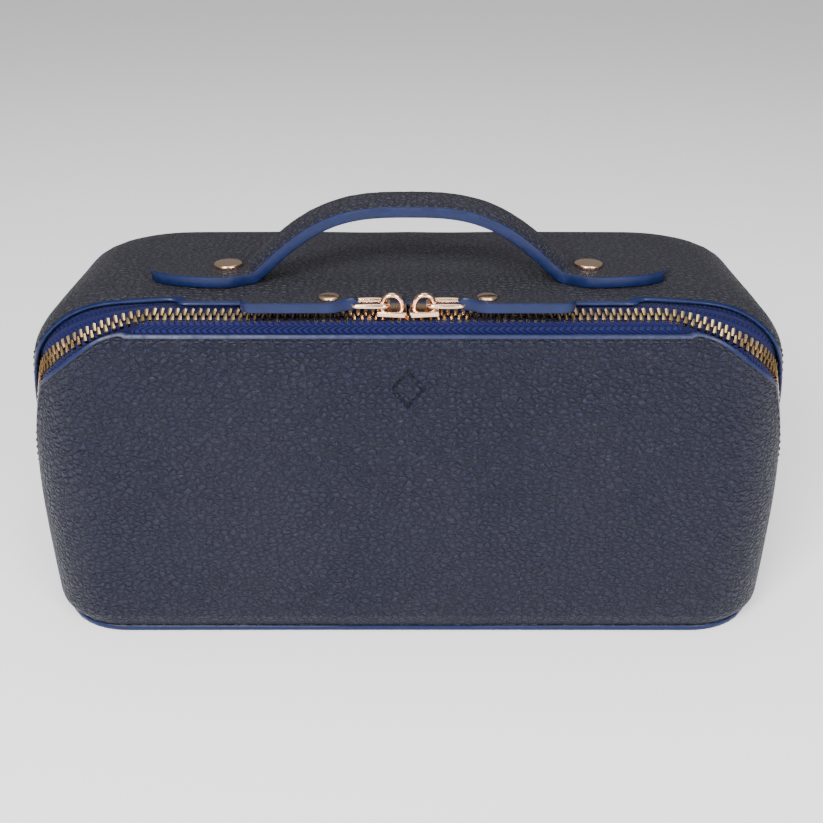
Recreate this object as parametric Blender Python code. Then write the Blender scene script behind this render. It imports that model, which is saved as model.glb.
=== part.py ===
"""Leather jewellery case: a zip-round box body, a lid that folds back, and a riveted strap handle.

The outer skin is one smooth surface. It is addressed by two lengths: `run`, measured round the
plan outline from the middle of the front, and `rise`, measured up the wall and over the top
edge. Leather, stiffener, lining, zip tape and teeth are all layers of that surface between two
depths, cut along one parting line that the zip follows.

Origin: centre of the base, on the ground. +X to the right, +Y to the back, +Z up.
"""

import math

import bmesh
import bpy
from mathutils import Vector

MM = 0.001

# Driving dimensions of the body
HALF_LENGTH = 125.0 * MM
HALF_DEPTH = 55.5 * MM
HEIGHT = 122.0 * MM
CORNER_RADIUS = 25.0 * MM
END_FLARE = 4.4 * MM
END_BULGE = 4.7 * MM
FACE_FLARE = 4.6 * MM
TOP_RADIUS_FRONT = 14.0 * MM
TOP_RADIUS_END = 23.5 * MM
TOP_RADIUS_BACK = 25.0 * MM
SKIRT_HEIGHT = 2.3 * MM
TUCK_HEIGHT = 6.0 * MM
TUCK_DEPTH = 2.4 * MM

# Layers, as depths below the outer skin
LEATHER = (0.0, 1.4 * MM)
STIFFENER = (2.2 * MM, 4.4 * MM)
LINING = (5.1 * MM, 5.9 * MM)
TAPE = (2.1 * MM, 2.7 * MM)
TEETH = (0.9 * MM, 3.1 * MM)
CHAIN_DEPTH = 2.0 * MM
CHAIN_SLOPE = 0.17

# The zip's path and the edges on each side of it
ZIP_RISE = 121.2 * MM
FRONT_STRAIGHT = 93.0 * MM
CORNER_SWEEP = (31.5 * MM, 35.2 * MM)
SIDE_SWEEP = 90.0 * MM
FOLD_RISE = 31.0 * MM
ZIP_END = 205.0 * MM
FOLD_START = 226.0 * MM
CASE_LEATHER_EDGE = 7.4 * MM
LID_LEATHER_EDGE = 3.7 * MM
STIFFENER_EDGE = 10.4 * MM
LINING_EDGE = 7.6 * MM
FOLD_EDGE = 1.8 * MM
PATCH_GAP = 0.7 * MM
STOP_BEYOND_END = (1.2 * MM, 3.4 * MM)
STOP_HALF_WIDTH = 2.2 * MM
PATCH_BEYOND_END = (5.0 * MM, 7.5 * MM, 10.0 * MM, 12.5 * MM)
TOOTH_BAND = (0.95 * MM, 2.9 * MM)
TAPE_BAND = (3.2 * MM, 6.8 * MM, 9.8 * MM)
SHARED_GRID = 12.0 * MM
SLOPE_STEP = 0.002
FOOT_ROWS = (5.0 * MM, 8.3 * MM)
FRONT_COLUMNS = 3
CORNER_COLUMNS = 6
SIDE_COLUMNS = 8
SIDE_COLUMN_STEP = 0.1
LAST_COLUMN_GAP = 0.02
ARC_COLUMNS = 4
WALL_ROWS = 4
LID_ROWS = 6

# Base and hinge
BASE_THICKNESS = 2.0 * MM
BASE_LIP = 0.65 * MM
BOARD = (2.4 * MM, 4.2 * MM)
PAD = (4.8 * MM, 6.6 * MM)
HINGE_Y = HALF_DEPTH + FACE_FLARE * (1 - FOLD_RISE / HEIGHT) - 0.8 * MM
HINGE_RADIUS = 1.2 * MM
HINGE_HALF_LENGTH = 92.0 * MM

# Handle
HANDLE_Y = -24.0 * MM
HANDLE_FOOT = 52.0 * MM
HANDLE_ARCH = 22.6 * MM
LEAF_CENTRE = 61.5 * MM
LEAF_TIP = 87.5 * MM
LEAF_HALF_WIDTH = 12.4 * MM
STRAP_HALF_WIDTH = 7.7 * MM
PAD_CROWN = 2.8 * MM
SEAT_GAP = 0.3 * MM
ARCH_POWERS = (3, 1.35)
LEAF_EASE = 11.0 * MM
LEAF_TIP_HALF_WIDTH = 1.6 * MM
LEAF_POWER = 1.9
PAD_FADE = 9.0 * MM
ACROSS_STRAP = (-1.0, -0.5, 0.0, 0.5, 1.0)
ARCH_STEPS = 11
LEAF_STEPS = 6
STRAP_LAYERS = {
    "handle_under_leather": (0.0, 1.0 * MM, 0.0, 0.0),
    "handle_core": (1.3 * MM, 2.1 * MM, 0.0, 1.0),
    "handle_top_leather": (2.4 * MM, 3.7 * MM, 1.0, 1.0),
}
RIVET_CAP_RADIUS = 4.75 * MM
RIVET_CAP_HEIGHT = 1.6 * MM
RIVET_CHAMFER = 0.5 * MM
RIVET_POST_RADIUS = 1.3 * MM
RIVET_POST_TAIL = 0.5 * MM
PUNCH_Z = (100.0 * MM, 140.0 * MM)
RIVET_HOLE_RADIUS = 1.75 * MM
WASHER_RADIUS = 5.0 * MM
WASHER_HEIGHT = 0.8 * MM

# Slider and pull, drawn for the right-hand side
SLIDER_X = (0.5 * MM, 10.0 * MM)
SLIDER_TILT = math.radians(8.0)
PLATE_HALF_WIDTH = 4.2 * MM
PLATE_OPEN_SIDE = 0.9 * MM
UNDER_PLATE = (-2.5 * MM, 3.6 * MM)
PLATE_LEVELS = (2.1 * MM, 3.0 * MM)
POST_HALF_WIDTH = 0.25 * MM
POST_LENGTH = 2.6 * MM
CROWN_LENGTH = 8.2 * MM
CROWN_HEIGHT = 5.4 * MM
CROWN_WIRE = 1.5 * MM
CROWN_HALF_WIDTH = 1.0 * MM
CROWN_POWER = 0.8
WELD = 0.2 * MM
LINK_X = (6.2 * MM, 18.2 * MM)
LINK_Y = -50.0 * MM
LINK_Z = 122.4 * MM
LINK_HALF_WIDTH = 3.1 * MM
LINK_WIRE = 0.6 * MM
LINK_CORNER = 1.6 * MM
LINK_CORNER_STEPS = 3
TAB_Y = -51.6 * MM
TAB_HALF_WIDTH = 5.3 * MM
TAB_X = (19.9 * MM, 53.8 * MM)
TAB_LEVELS = (121.3 * MM, 124.7 * MM)
TAB_EYE_RADIUS = 1.65 * MM
TAB_EYE_HOLE = 1.0 * MM
TAB_EYE_HALF_WIDTH = 2.1 * MM
TAB_RIVET_X = 25.4 * MM
TAB_RIVET_RADIUS = 3.4 * MM
TAB_RIVET_CAP = 0.9 * MM
TAB_RIVET_CHAMFER = 0.3 * MM
TAB_POST_RADIUS = 1.2 * MM
TAB_POST_RECESS = 0.2 * MM
TAB_NECK = (-2.6 * MM, 4.2 * MM)
TAB_SHOULDER = 6.0 * MM
TAB_EYE_ROOT = 0.6 * MM

# Jewellery insert
TRAY_HALF = (107.0 * MM, 45.0 * MM)
TRAY_Z = (6.9 * MM, 44.0 * MM)
TRAY_WALL = 2.0 * MM
TRAY_ROUNDING = 1.2 * MM
RING_WALL_X = -38.0 * MM
ROLL_RADIUS = 6.0 * MM
ROLL_COUNT = 5
DIVIDER = 1.6 * MM
DIVIDER_TOP = 38.0 * MM
WIDE_BAY_SHARE = 0.62
FIT_GAP = 0.4 * MM

# Slip pocket under the lid's top
POCKET_HALF_LENGTH = 82.0 * MM
POCKET_Y = (-13.0 * MM, 26.0 * MM)
POCKET_DROP = (1.4 * MM, 2.4 * MM)
ELASTIC_HALF_LENGTH = 80.0 * MM
ELASTIC_Y = (-15.6 * MM, -13.4 * MM)
ELASTIC_DROP = (1.0 * MM, 2.9 * MM)
ELASTIC_EDGE = 0.4 * MM

# How finely round pieces are cut
ROUND_SIDES = 12
CAP_SIDES = 24
TAB_RIVET_SIDES = 16
CROWN_STEPS = 10
TIP_STEPS = 8

FRONT_RUN = HALF_LENGTH - CORNER_RADIUS
ARC_RUN = CORNER_RADIUS * math.pi / 2
END_RUN = 2 * (HALF_DEPTH - CORNER_RADIUS)
HALF_RUN = 2 * FRONT_RUN + 2 * ARC_RUN + END_RUN


# ---------------------------------------------------------------- materials


def material(name, colour, roughness, metallic=0.0):
    mat = bpy.data.materials.new(name)
    mat.use_nodes = True
    shader = mat.node_tree.nodes["Principled BSDF"]
    shader.inputs["Base Color"].default_value = (*colour, 1.0)
    shader.inputs["Roughness"].default_value = roughness
    shader.inputs["Metallic"].default_value = metallic
    return mat


# ---------------------------------------------------------------- the skin


def mix(a, b, t):
    return a + (b - a) * t


def smooth(t):
    t = min(max(t, 0.0), 1.0)
    return t * t * (3 - 2 * t)


def station(run):
    """Where a run length sits on the plan outline: corner side, straight share and normal."""
    first_arc = FRONT_RUN
    end_wall = first_arc + ARC_RUN
    second_arc = end_wall + END_RUN
    back_wall = second_arc + ARC_RUN
    if run < first_arc:
        return (run / FRONT_RUN, -1.0, 0.0, -1.0)
    if run < end_wall:
        turn = (run - first_arc) / CORNER_RADIUS
        return (1.0, -1.0, math.sin(turn), -math.cos(turn))
    if run < second_arc:
        share = (run - end_wall) / END_RUN
        return (1.0, mix(-1.0, 1.0, share), 1.0, 0.0)
    if run < back_wall:
        turn = (run - second_arc) / CORNER_RADIUS
        return (1.0, 1.0, math.cos(turn), math.sin(turn))
    return (max(0.0, 1.0 - (run - back_wall) / FRONT_RUN), 1.0, 0.0, 1.0)


def top_radius(run):
    """The top edge's rounding, which grows from the front to the ends and the back."""
    corner = (run - FRONT_RUN) / ARC_RUN
    if corner < 1.0:
        return mix(TOP_RADIUS_FRONT, TOP_RADIUS_END, min(max(corner, 0.0), 1.0))
    corner = (run - FRONT_RUN - ARC_RUN - END_RUN) / ARC_RUN
    return mix(TOP_RADIUS_END, TOP_RADIUS_BACK, min(max(corner, 0.0), 1.0))


def rim_rise(run):
    """The rise at which the rounding meets the flat top."""
    return HEIGHT + top_radius(run) * (math.pi / 2 - 1)


def skin(run, rise, depth=0.0, side=1.0):
    """A point of the body, `depth` below its outer skin; side -1 is the mirrored half."""
    along, across, nx, ny = station(run)
    radius = top_radius(run)
    turn = min(max((rise - (HEIGHT - radius)) / radius, 0.0), math.pi / 2)
    z = rise if turn == 0.0 else HEIGHT - radius * (1 - math.sin(turn))
    share = 1 - z / HEIGHT
    low = min(max(1 - (z - SKIRT_HEIGHT) / TUCK_HEIGHT, 0.0), 1.0)
    tuck = TUCK_DEPTH * low * low
    inset = 1 - math.cos(turn)
    half = HALF_LENGTH + END_FLARE * share + END_BULGE * math.sin(math.pi * z / HEIGHT)
    half -= TOP_RADIUS_END * inset + tuck
    front = HALF_DEPTH + FACE_FLARE * share - TOP_RADIUS_FRONT * inset - tuck
    back = HALF_DEPTH + FACE_FLARE * share - TOP_RADIUS_BACK * inset - tuck
    x = along * (half - CORNER_RADIUS) + nx * CORNER_RADIUS
    y = mix(-front + CORNER_RADIUS, back - CORNER_RADIUS, (across + 1) / 2)
    y += ny * CORNER_RADIUS
    level = math.cos(turn)
    x -= nx * level * depth
    y -= ny * level * depth
    return Vector((side * x, y, z - math.sin(turn) * depth))


# ---------------------------------------------------------------- the parting line


def parting(turn):
    """The zip's path: front run, corner sweep, side sweep and back fold, as (run, rise)."""
    wide, tall = CORNER_SWEEP
    if turn < 1.0:
        return FRONT_STRAIGHT * turn, ZIP_RISE
    if turn < 2.0:
        angle = (turn - 1.0) * math.pi / 2
        run = FRONT_STRAIGHT + wide * math.sin(angle)
        return run, ZIP_RISE - tall * (1 - math.cos(angle))
    start = FRONT_STRAIGHT + wide
    if turn < 3.0:
        angle = (turn - 2.0) * math.pi / 2
        run = start + SIDE_SWEEP * (1 - math.cos(angle))
        return run, mix(ZIP_RISE - tall, FOLD_RISE, math.sin(angle))
    return mix(start + SIDE_SWEEP, HALF_RUN, turn - 3.0), FOLD_RISE


def side_step(turn, offset):
    """A point beside the parting line: offset is positive on the lid's side."""
    low = parting(max(turn - SLOPE_STEP, 0.0))
    high = parting(min(turn + SLOPE_STEP, 4.0))
    run, rise = parting(turn)
    dx, dy = high[0] - low[0], high[1] - low[1]
    size = math.hypot(dx, dy)
    return run - offset * dy / size, rise + offset * dx / size


def edge(turn, at_zip, at_fold):
    """An edge's distance from the parting line, which closes up along the back fold."""
    run = parting(turn)[0]
    return mix(at_zip, at_fold, smooth((run - ZIP_END) / (FOLD_START - ZIP_END)))


def turn_at_run(target):
    """The turn value where the side sweep or the fold reaches a given run."""
    start = FRONT_STRAIGHT + CORNER_SWEEP[0]
    end = start + SIDE_SWEEP
    if target <= end:
        return 2.0 + math.acos(1 - (target - start) / SIDE_SWEEP) / (math.pi / 2)
    return 3.0 + (target - end) / (HALF_RUN - end)


# ---------------------------------------------------------------- mesh helpers


def add_object(name, mesh, mat, smooth_angle=40.0):
    mesh.materials.append(mat)
    mesh.shade_smooth()
    mesh.set_sharp_from_angle(angle=math.radians(smooth_angle))
    obj = bpy.data.objects.new(name, mesh)
    bpy.context.collection.objects.link(obj)
    return obj


def finish(name, bm, mat):
    """Close a bmesh into an object with its faces pointing out."""
    bmesh.ops.remove_doubles(bm, verts=bm.verts, dist=0.01 * MM)
    bmesh.ops.recalc_face_normals(bm, faces=bm.faces)
    mesh = bpy.data.meshes.new(name)
    bm.to_mesh(mesh)
    bm.free()
    return add_object(name, mesh, mat)


def grid_solid(name, outer, inner, mat, ring=False, cap=False):
    """A layer between two grids of points: rows of columns, closed along every free edge.

    ring joins the last column to the first. cap closes the last row with one flat face on each
    side, where the layer would otherwise have an opening.
    """
    bm = bmesh.new()
    sheets = [[[bm.verts.new(p) for p in row] for row in grid] for grid in (outer, inner)]
    columns = len(outer[0])
    spans = [(c, (c + 1) % columns) for c in range(columns if ring else columns - 1)]
    for sheet in sheets:
        for low, high in zip(sheet, sheet[1:]):
            for a, b in spans:
                bm.faces.new((low[a], low[b], high[b]))
                bm.faces.new((low[a], high[b], high[a]))
        if cap:
            bm.faces.new(sheet[-1])
    rows = [0] if cap else [0, -1]
    for row in rows:
        top, bottom = sheets[0][row], sheets[1][row]
        for a, b in spans:
            bm.faces.new((top[a], top[b], bottom[b], bottom[a]))
    if not ring:
        for column in (0, -1):
            for low, high in zip(range(len(outer)), range(1, len(outer))):
                a, b = sheets[0][low][column], sheets[0][high][column]
                c, d = sheets[1][high][column], sheets[1][low][column]
                bm.faces.new((a, b, c, d))
    return finish(name, bm, mat)


def circle(x, y, radius, sides, phase=0.0):
    """Points round a circle, as a flat outline."""
    angles = [2 * math.pi * (k + phase) / sides for k in range(sides)]
    return [(x + radius * math.cos(angle), y + radius * math.sin(angle)) for angle in angles]


def extruded(name, outline, place, mat, near, far):
    """A flat outline pushed from `near` to `far`; place(u, v, w) gives the point in space."""
    bm = bmesh.new()
    start, end = [[bm.verts.new(place(u, v, level)) for u, v in outline] for level in (near, far)]
    bm.faces.new(start)
    bm.faces.new(end)
    for k in range(len(outline)):
        bm.faces.new((start[k - 1], start[k], end[k], end[k - 1]))
    return finish(name, bm, mat)


def turned(name, profile, centre, mat, sides=CAP_SIDES):
    """A solid of revolution about a vertical axis from (radius, height) points."""
    bm = bmesh.new()
    rings = []
    for radius, height in profile:
        if radius == 0.0:
            rings.append([bm.verts.new(centre + Vector((0, 0, height)))])
            continue
        ring = [Vector((x, y, height)) for x, y in circle(0.0, 0.0, radius, sides)]
        rings.append([bm.verts.new(centre + point) for point in ring])
    closed = rings + ([rings[0]] if profile[0][0] > 0.0 else [])
    for low, high in zip(closed, closed[1:]):
        for k in range(sides):
            n = (k + 1) % sides
            below = [low[k % len(low)], low[n % len(low)]]
            above = [high[n % len(high)], high[k % len(high)]]
            bm.faces.new(list(dict.fromkeys(below + above)))
    return finish(name, bm, mat)


def box(name, low, high, mat, bevel=0.0):
    bm = bmesh.new()
    bmesh.ops.create_cube(bm, size=1.0)
    size = Vector(high) - Vector(low)
    middle = (Vector(high) + Vector(low)) / 2
    for vert in bm.verts:
        vert.co = Vector([vert.co[k] * size[k] + middle[k] for k in range(3)])
    obj = finish(name, bm, mat)
    if bevel:
        rounding = obj.modifiers.new("rounding", "BEVEL")
        rounding.width = bevel
        rounding.segments = 2
    return obj


def hide_cutter(obj):
    obj.hide_render = True
    obj.display_type = "WIRE"
    return obj


def combine(obj, other, operation):
    """Add or take away another solid, which stays behind as a hidden guide."""
    hide_cutter(other)
    step = obj.modifiers.new(operation.lower(), "BOOLEAN")
    step.operation = operation
    step.object = other
    return obj


# ---------------------------------------------------------------- body and lid


def ring_turns():
    """Columns round the half outline, closer together where the line or the outline bends."""
    front = [k / FRONT_COLUMNS for k in range(FRONT_COLUMNS)]
    sweep = [1.0 + k / CORNER_COLUMNS for k in range(CORNER_COLUMNS)]
    sweep += [2.0 + SIDE_COLUMN_STEP * k for k in range(SIDE_COLUMNS)]
    side_end = parting(sweep[-1])[0]
    arc_start = FRONT_RUN + ARC_RUN + END_RUN
    fold = parting(3.0)[0]
    back = arc_start + ARC_RUN
    runs = [mix(side_end, arc_start, 0.5), arc_start, mix(arc_start, fold, 0.5), fold]
    runs += [mix(fold, back, k / ARC_COLUMNS) for k in range(1, ARC_COLUMNS + 1)]
    runs += [mix(back, HALF_RUN, 0.5), HALF_RUN]
    return front + sweep + [turn_at_run(run) for run in runs]


def both_sides(half_row):
    """Complete a row of right-hand points with its mirrored left half."""
    left = [Vector((-p.x, p.y, p.z)) for p in half_row[1:-1]]
    return half_row + left[::-1]


def grid_point(turn, share, low, high):
    """A (run, rise) point on a column's line between two ends; all layers share these lines."""
    return mix(low[0], high[0], smooth(share)), mix(low[1], high[1], share)


def layer(name, depths, column, mat, cap=False):
    """A ring-shaped layer from column(turn), which lists its (run, rise) points upwards."""
    columns = [column(turn) for turn in ring_turns()]
    grids = []
    for depth in depths:
        rows = zip(*columns)
        grids.append([both_sides([skin(run, rise, depth) for run, rise in row]) for row in rows])
    return grid_solid(name, *grids, mat, ring=True, cap=cap)


def case_layer(name, depths, widths, mat, rows, foot):
    """A wall layer of the case: from the foot up to its edge beside the parting line."""

    def column(turn):
        low = (parting(turn)[0], FOOT_ROWS[-1])
        high = side_step(turn, -edge(turn, SHARED_GRID, 2 * FOLD_EDGE))
        points = [(parting(turn)[0], height) for height in (foot, *FOOT_ROWS[:-1])]
        points += [grid_point(turn, k / rows, low, high) for k in range(rows + 1)]
        return points + [side_step(turn, -edge(turn, *widths))]

    return layer(name, depths, column, mat)


def lid_layer(name, depths, widths, mat, rows):
    """A layer of the lid: from its edge up the wall, over the rounding and across the top."""

    def column(turn):
        low = side_step(turn, edge(turn, SHARED_GRID, 2 * FOLD_EDGE))
        high = (low[0], rim_rise(low[0]))
        points = [grid_point(turn, k / rows, low, high) for k in range(rows + 1)]
        return [side_step(turn, edge(turn, *widths))] + points

    return layer(name, depths, column, mat, cap=True)


def chain_tilt(distance):
    """Extra depth beside the parting line: the chain lies flatter than the skin round it."""
    near, far = TAPE_BAND[0], TAPE_BAND[1]
    fade = min(max((far - abs(distance)) / (far - near), 0.0), 1.0)
    return CHAIN_SLOPE * max(min(distance, near), -near) * fade


def band(name, depths, offsets, turns, mat, side=0):
    """A strip that follows the zip between two offsets; side 0 runs round both ends."""
    path = [(turn, side or 1.0) for turn in turns]
    if side == 0:
        path = [(turn, -1.0) for turn in turns[:0:-1]] + path
    grids = []
    for depth in depths:
        grid = []
        for offset in offsets:
            row = []
            for turn, half in path:
                distance = offset(turn) if callable(offset) else offset
                run, rise = side_step(turn, distance)
                row.append(skin(run, rise, depth + chain_tilt(distance), half))
            grid.append(row)
        grids.append(grid)
    return grid_solid(name, *grids, mat)


def build_base(mats):
    """The flat panels of the base, each following the outline at its own height."""
    panels = (
        ("base_panel", (0.0, BASE_THICKNESS), SKIRT_HEIGHT, -BASE_LIP, mats["leather"]),
        ("base_board", BOARD, BOARD[0], LINING[0] + FIT_GAP, mats["board"]),
        ("base_lining_pad", PAD, PAD[0], LINING[1] + FIT_GAP, mats["suede"]),
    )
    for name, levels, height, inset, mat in panels:
        half = [skin(parting(turn)[0], height, inset) for turn in ring_turns()]
        outline = [(point.x, point.y) for point in both_sides(half)]
        extruded(name, outline, lambda u, v, w: Vector((u, v, w)), mat, *levels)


def build_case(mats):
    build_base(mats)
    leather = (CASE_LEATHER_EDGE, FOLD_EDGE)
    case_layer("case_leather", LEATHER, leather, mats["leather"], WALL_ROWS, SKIRT_HEIGHT)
    stiff = (STIFFENER_EDGE, FOLD_EDGE + FIT_GAP)
    case_layer("case_stiffener", STIFFENER, stiff, mats["board"], WALL_ROWS, SKIRT_HEIGHT + FIT_GAP)
    lining = (LINING_EDGE, FOLD_EDGE + FIT_GAP)
    case_layer("case_lining", LINING, lining, mats["suede"], WALL_ROWS, BOARD[1] + FIT_GAP)


def build_lid(mats):
    lid = lid_layer("lid_leather", LEATHER, (LID_LEATHER_EDGE, FOLD_EDGE), mats["leather"], LID_ROWS)
    stiff_width = (STIFFENER_EDGE, FOLD_EDGE + FIT_GAP)
    stiff = lid_layer("lid_stiffener", STIFFENER, stiff_width, mats["board"], LID_ROWS)
    lining_width = (LINING_EDGE, FOLD_EDGE + FIT_GAP)
    lining = lid_layer("lid_lining", LINING, lining_width, mats["suede"], LID_ROWS)
    top = HEIGHT - LINING[1]
    pieces = (
        ("lid_pocket", POCKET_HALF_LENGTH, POCKET_Y, POCKET_DROP, mats["suede"], 0.0),
        ("pocket_elastic", ELASTIC_HALF_LENGTH, ELASTIC_Y, ELASTIC_DROP, mats["tape"], ELASTIC_EDGE),
    )
    for name, half_length, span, drop, mat, rounding in pieces:
        low = (-half_length, span[0], top - drop[1])
        high = (half_length, span[1], top - drop[0])
        box(name, low, high, mat, rounding)
    return [lid, stiff, lining]


def build_zip(mats):
    """Both tapes, both rows of teeth, and what closes the zip at its two ends."""
    last = turn_at_run(ZIP_END)
    turns = [turn for turn in ring_turns() if turn < last - LAST_COLUMN_GAP] + [last]
    rows = (("case", -1.0), ("lid", 1.0))
    for word, sign in rows:
        tape = [sign * w for w in TAPE_BAND]
        band(f"zip_tape_{word}", TAPE, tape, turns, mats["tape"])
        teeth = [sign * w for w in TOOTH_BAND]
        band(f"zip_teeth_{word}", TEETH, teeth, turns, mats["brass"])
    stop = [turn_at_run(ZIP_END + beyond) for beyond in STOP_BEYOND_END]
    patch = [turn_at_run(ZIP_END + beyond) for beyond in PATCH_BEYOND_END]
    low = [lambda t: -edge(t, CASE_LEATHER_EDGE, FOLD_EDGE) + PATCH_GAP]
    high = [lambda t: edge(t, LID_LEATHER_EDGE, FOLD_EDGE) - PATCH_GAP]
    for word, side in (("left", -1.0), ("right", 1.0)):
        width = (-STOP_HALF_WIDTH, STOP_HALF_WIDTH)
        band(f"zip_stop_{word}", TEETH, width, stop, mats["brass"], side)
        band(f"zip_end_patch_{word}", LEATHER, low + high, patch, mats["leather"], side)


def build_hinge_fold(mats):
    """The rolled fold of leather that the lid turns about, along the back."""

    def place(u, v, w):
        return Vector((w, HINGE_Y + u, FOLD_RISE + v))

    outline = circle(0.0, 0.0, HINGE_RADIUS, ROUND_SIDES)
    ends = (-HINGE_HALF_LENGTH, HINGE_HALF_LENGTH)
    extruded("back_hinge_fold", outline, place, mats["leather"], *ends)


# ---------------------------------------------------------------- handle


def arch(x):
    """Height of the strap's underside over the lid at a distance from the middle."""
    share = min(abs(x) / HANDLE_FOOT, 1.0)
    return HANDLE_ARCH * (1 - share ** ARCH_POWERS[0]) ** ARCH_POWERS[1]


def strap_half_width(x):
    """Half the strap's width: parallel in the middle, leaf-shaped at each end."""
    x = abs(x)
    if x <= LEAF_CENTRE:
        share = smooth((x - LEAF_CENTRE + LEAF_EASE) / LEAF_EASE)
        return mix(STRAP_HALF_WIDTH, LEAF_HALF_WIDTH, share)
    share = (x - LEAF_CENTRE) / (LEAF_TIP - LEAF_CENTRE)
    return mix(LEAF_TIP_HALF_WIDTH, LEAF_HALF_WIDTH, math.sqrt(max(1 - share ** LEAF_POWER, 0.0)))


def strap_stations():
    middle = [HANDLE_FOOT * k / ARCH_STEPS for k in range(ARCH_STEPS + 1)]
    leaf = [mix(HANDLE_FOOT, LEAF_TIP, k / LEAF_STEPS) for k in range(1, LEAF_STEPS + 1)]
    right = middle + leaf
    return [-x for x in right[:0:-1]] + right


def strap_layer(name, low, high, crown_low, crown_high, mat):
    """One layer of the strap, arched with it and crowned by the padding under it."""

    def point(x, across, level, crown):
        step = 0.1 * MM
        slope = (arch(x + step) - arch(x - step)) / (2 * step)
        normal = Vector((-slope, 0.0, 1.0)).normalized()
        fill = smooth((HANDLE_FOOT - abs(x)) / PAD_FADE)
        height = level + crown * PAD_CROWN * fill * (1 - across * across)
        y = HANDLE_Y + across * strap_half_width(x)
        return Vector((x, y, HEIGHT + SEAT_GAP + arch(x))) + normal * height

    grids = []
    for level, crown in ((high, crown_high), (low, crown_low)):
        grids.append([[point(x, a, level, crown) for x in strap_stations()] for a in ACROSS_STRAP])
    return grid_solid(name, *grids, mat)


def build_handle(mats, lid_layers):
    """The strap, and the rivets that hold its leaves to the lid through punched holes."""
    punched = list(lid_layers)
    for name, (low, high, crown_low, crown_high) in STRAP_LAYERS.items():
        mat = mats["board"] if name == "handle_core" else mats["leather"]
        punched.append(strap_layer(name, low, high, crown_low, crown_high, mat))
    seat = HEIGHT + SEAT_GAP + STRAP_LAYERS["handle_top_leather"][1] + SEAT_GAP
    inside = HEIGHT - LINING[1] - SEAT_GAP
    washer_low = inside - WASHER_HEIGHT
    post_end = washer_low - RIVET_POST_TAIL
    for word, sign in (("left", -1.0), ("right", 1.0)):
        centre = Vector((sign * LEAF_CENTRE, HANDLE_Y, 0.0))
        punch = [(0.0, PUNCH_Z[0]), (RIVET_HOLE_RADIUS, PUNCH_Z[0])]
        punch += [(RIVET_HOLE_RADIUS, PUNCH_Z[1]), (0.0, PUNCH_Z[1])]
        cutter = turned(f"punch_{word}", punch, centre, mats["brass"], ROUND_SIDES)
        for layer in punched:
            combine(layer, cutter, "DIFFERENCE")
        cap = [
            (0.0, post_end),
            (RIVET_POST_RADIUS, post_end),
            (RIVET_POST_RADIUS, seat),
            (RIVET_CAP_RADIUS, seat),
            (RIVET_CAP_RADIUS, seat + RIVET_CAP_HEIGHT - RIVET_CHAMFER),
            (RIVET_CAP_RADIUS - RIVET_CHAMFER, seat + RIVET_CAP_HEIGHT),
            (0.0, seat + RIVET_CAP_HEIGHT),
        ]
        turned(f"handle_rivet_{word}", cap, centre, mats["rose_metal"])
        washer = [
            (RIVET_HOLE_RADIUS, washer_low),
            (WASHER_RADIUS, washer_low),
            (WASHER_RADIUS, inside),
            (RIVET_HOLE_RADIUS, inside),
        ]
        turned(f"rivet_washer_{word}", washer, centre, mats["rose_metal"])


# ---------------------------------------------------------------- sliders and pulls


def chain_centre():
    """The chain's centre in the front run, as (y, z)."""
    point = skin(0.0, ZIP_RISE, CHAIN_DEPTH)
    return point.y, point.z


def build_slider(word, sign, mats):
    """A slider: two plates, the wedge between the rows, and the crown that holds the link."""
    y0, z0 = chain_centre()
    cos, sin = math.cos(SLIDER_TILT), math.sin(SLIDER_TILT)

    def place(x, up, across):
        return Vector((sign * x, y0 + across * cos - up * sin, z0 + across * sin + up * cos))

    near, far = SLIDER_X
    low, high = PLATE_LEVELS
    metal = mats["rose_metal"]

    def rectangle(x0, x1, u0, u1):
        return [(x0, u0), (x1, u0), (x1, u1), (x0, u1)]

    def crown_arc(inset):
        points = []
        for k in range(CROWN_STEPS + 1):
            angle = math.pi * k / CROWN_STEPS
            along = (near + far) / 2 + (CROWN_LENGTH / 2 - inset) * math.cos(angle)
            rise = (CROWN_HEIGHT - inset) * math.sin(angle) ** CROWN_POWER
            points.append((along, high - WELD + rise))
        return points

    top_plate = rectangle(near, far, low, high)
    slider = extruded(f"slider_{word}", top_plate, place, metal, -PLATE_HALF_WIDTH, PLATE_OPEN_SIDE)
    wedge = rectangle(near + WELD, near + POST_LENGTH, -low - WELD, low + WELD)
    crown = crown_arc(0.0) + crown_arc(CROWN_WIRE)[::-1]
    pieces = (
        ("under", rectangle(near, far, -high, -low), *UNDER_PLATE),
        ("wedge", wedge, -POST_HALF_WIDTH, POST_HALF_WIDTH),
        ("crown", crown, -CROWN_HALF_WIDTH, CROWN_HALF_WIDTH),
    )
    for piece, outline, start, end in pieces:
        combine(slider, extruded(f"{piece}_{word}", outline, place, metal, start, end), "UNION")


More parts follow.
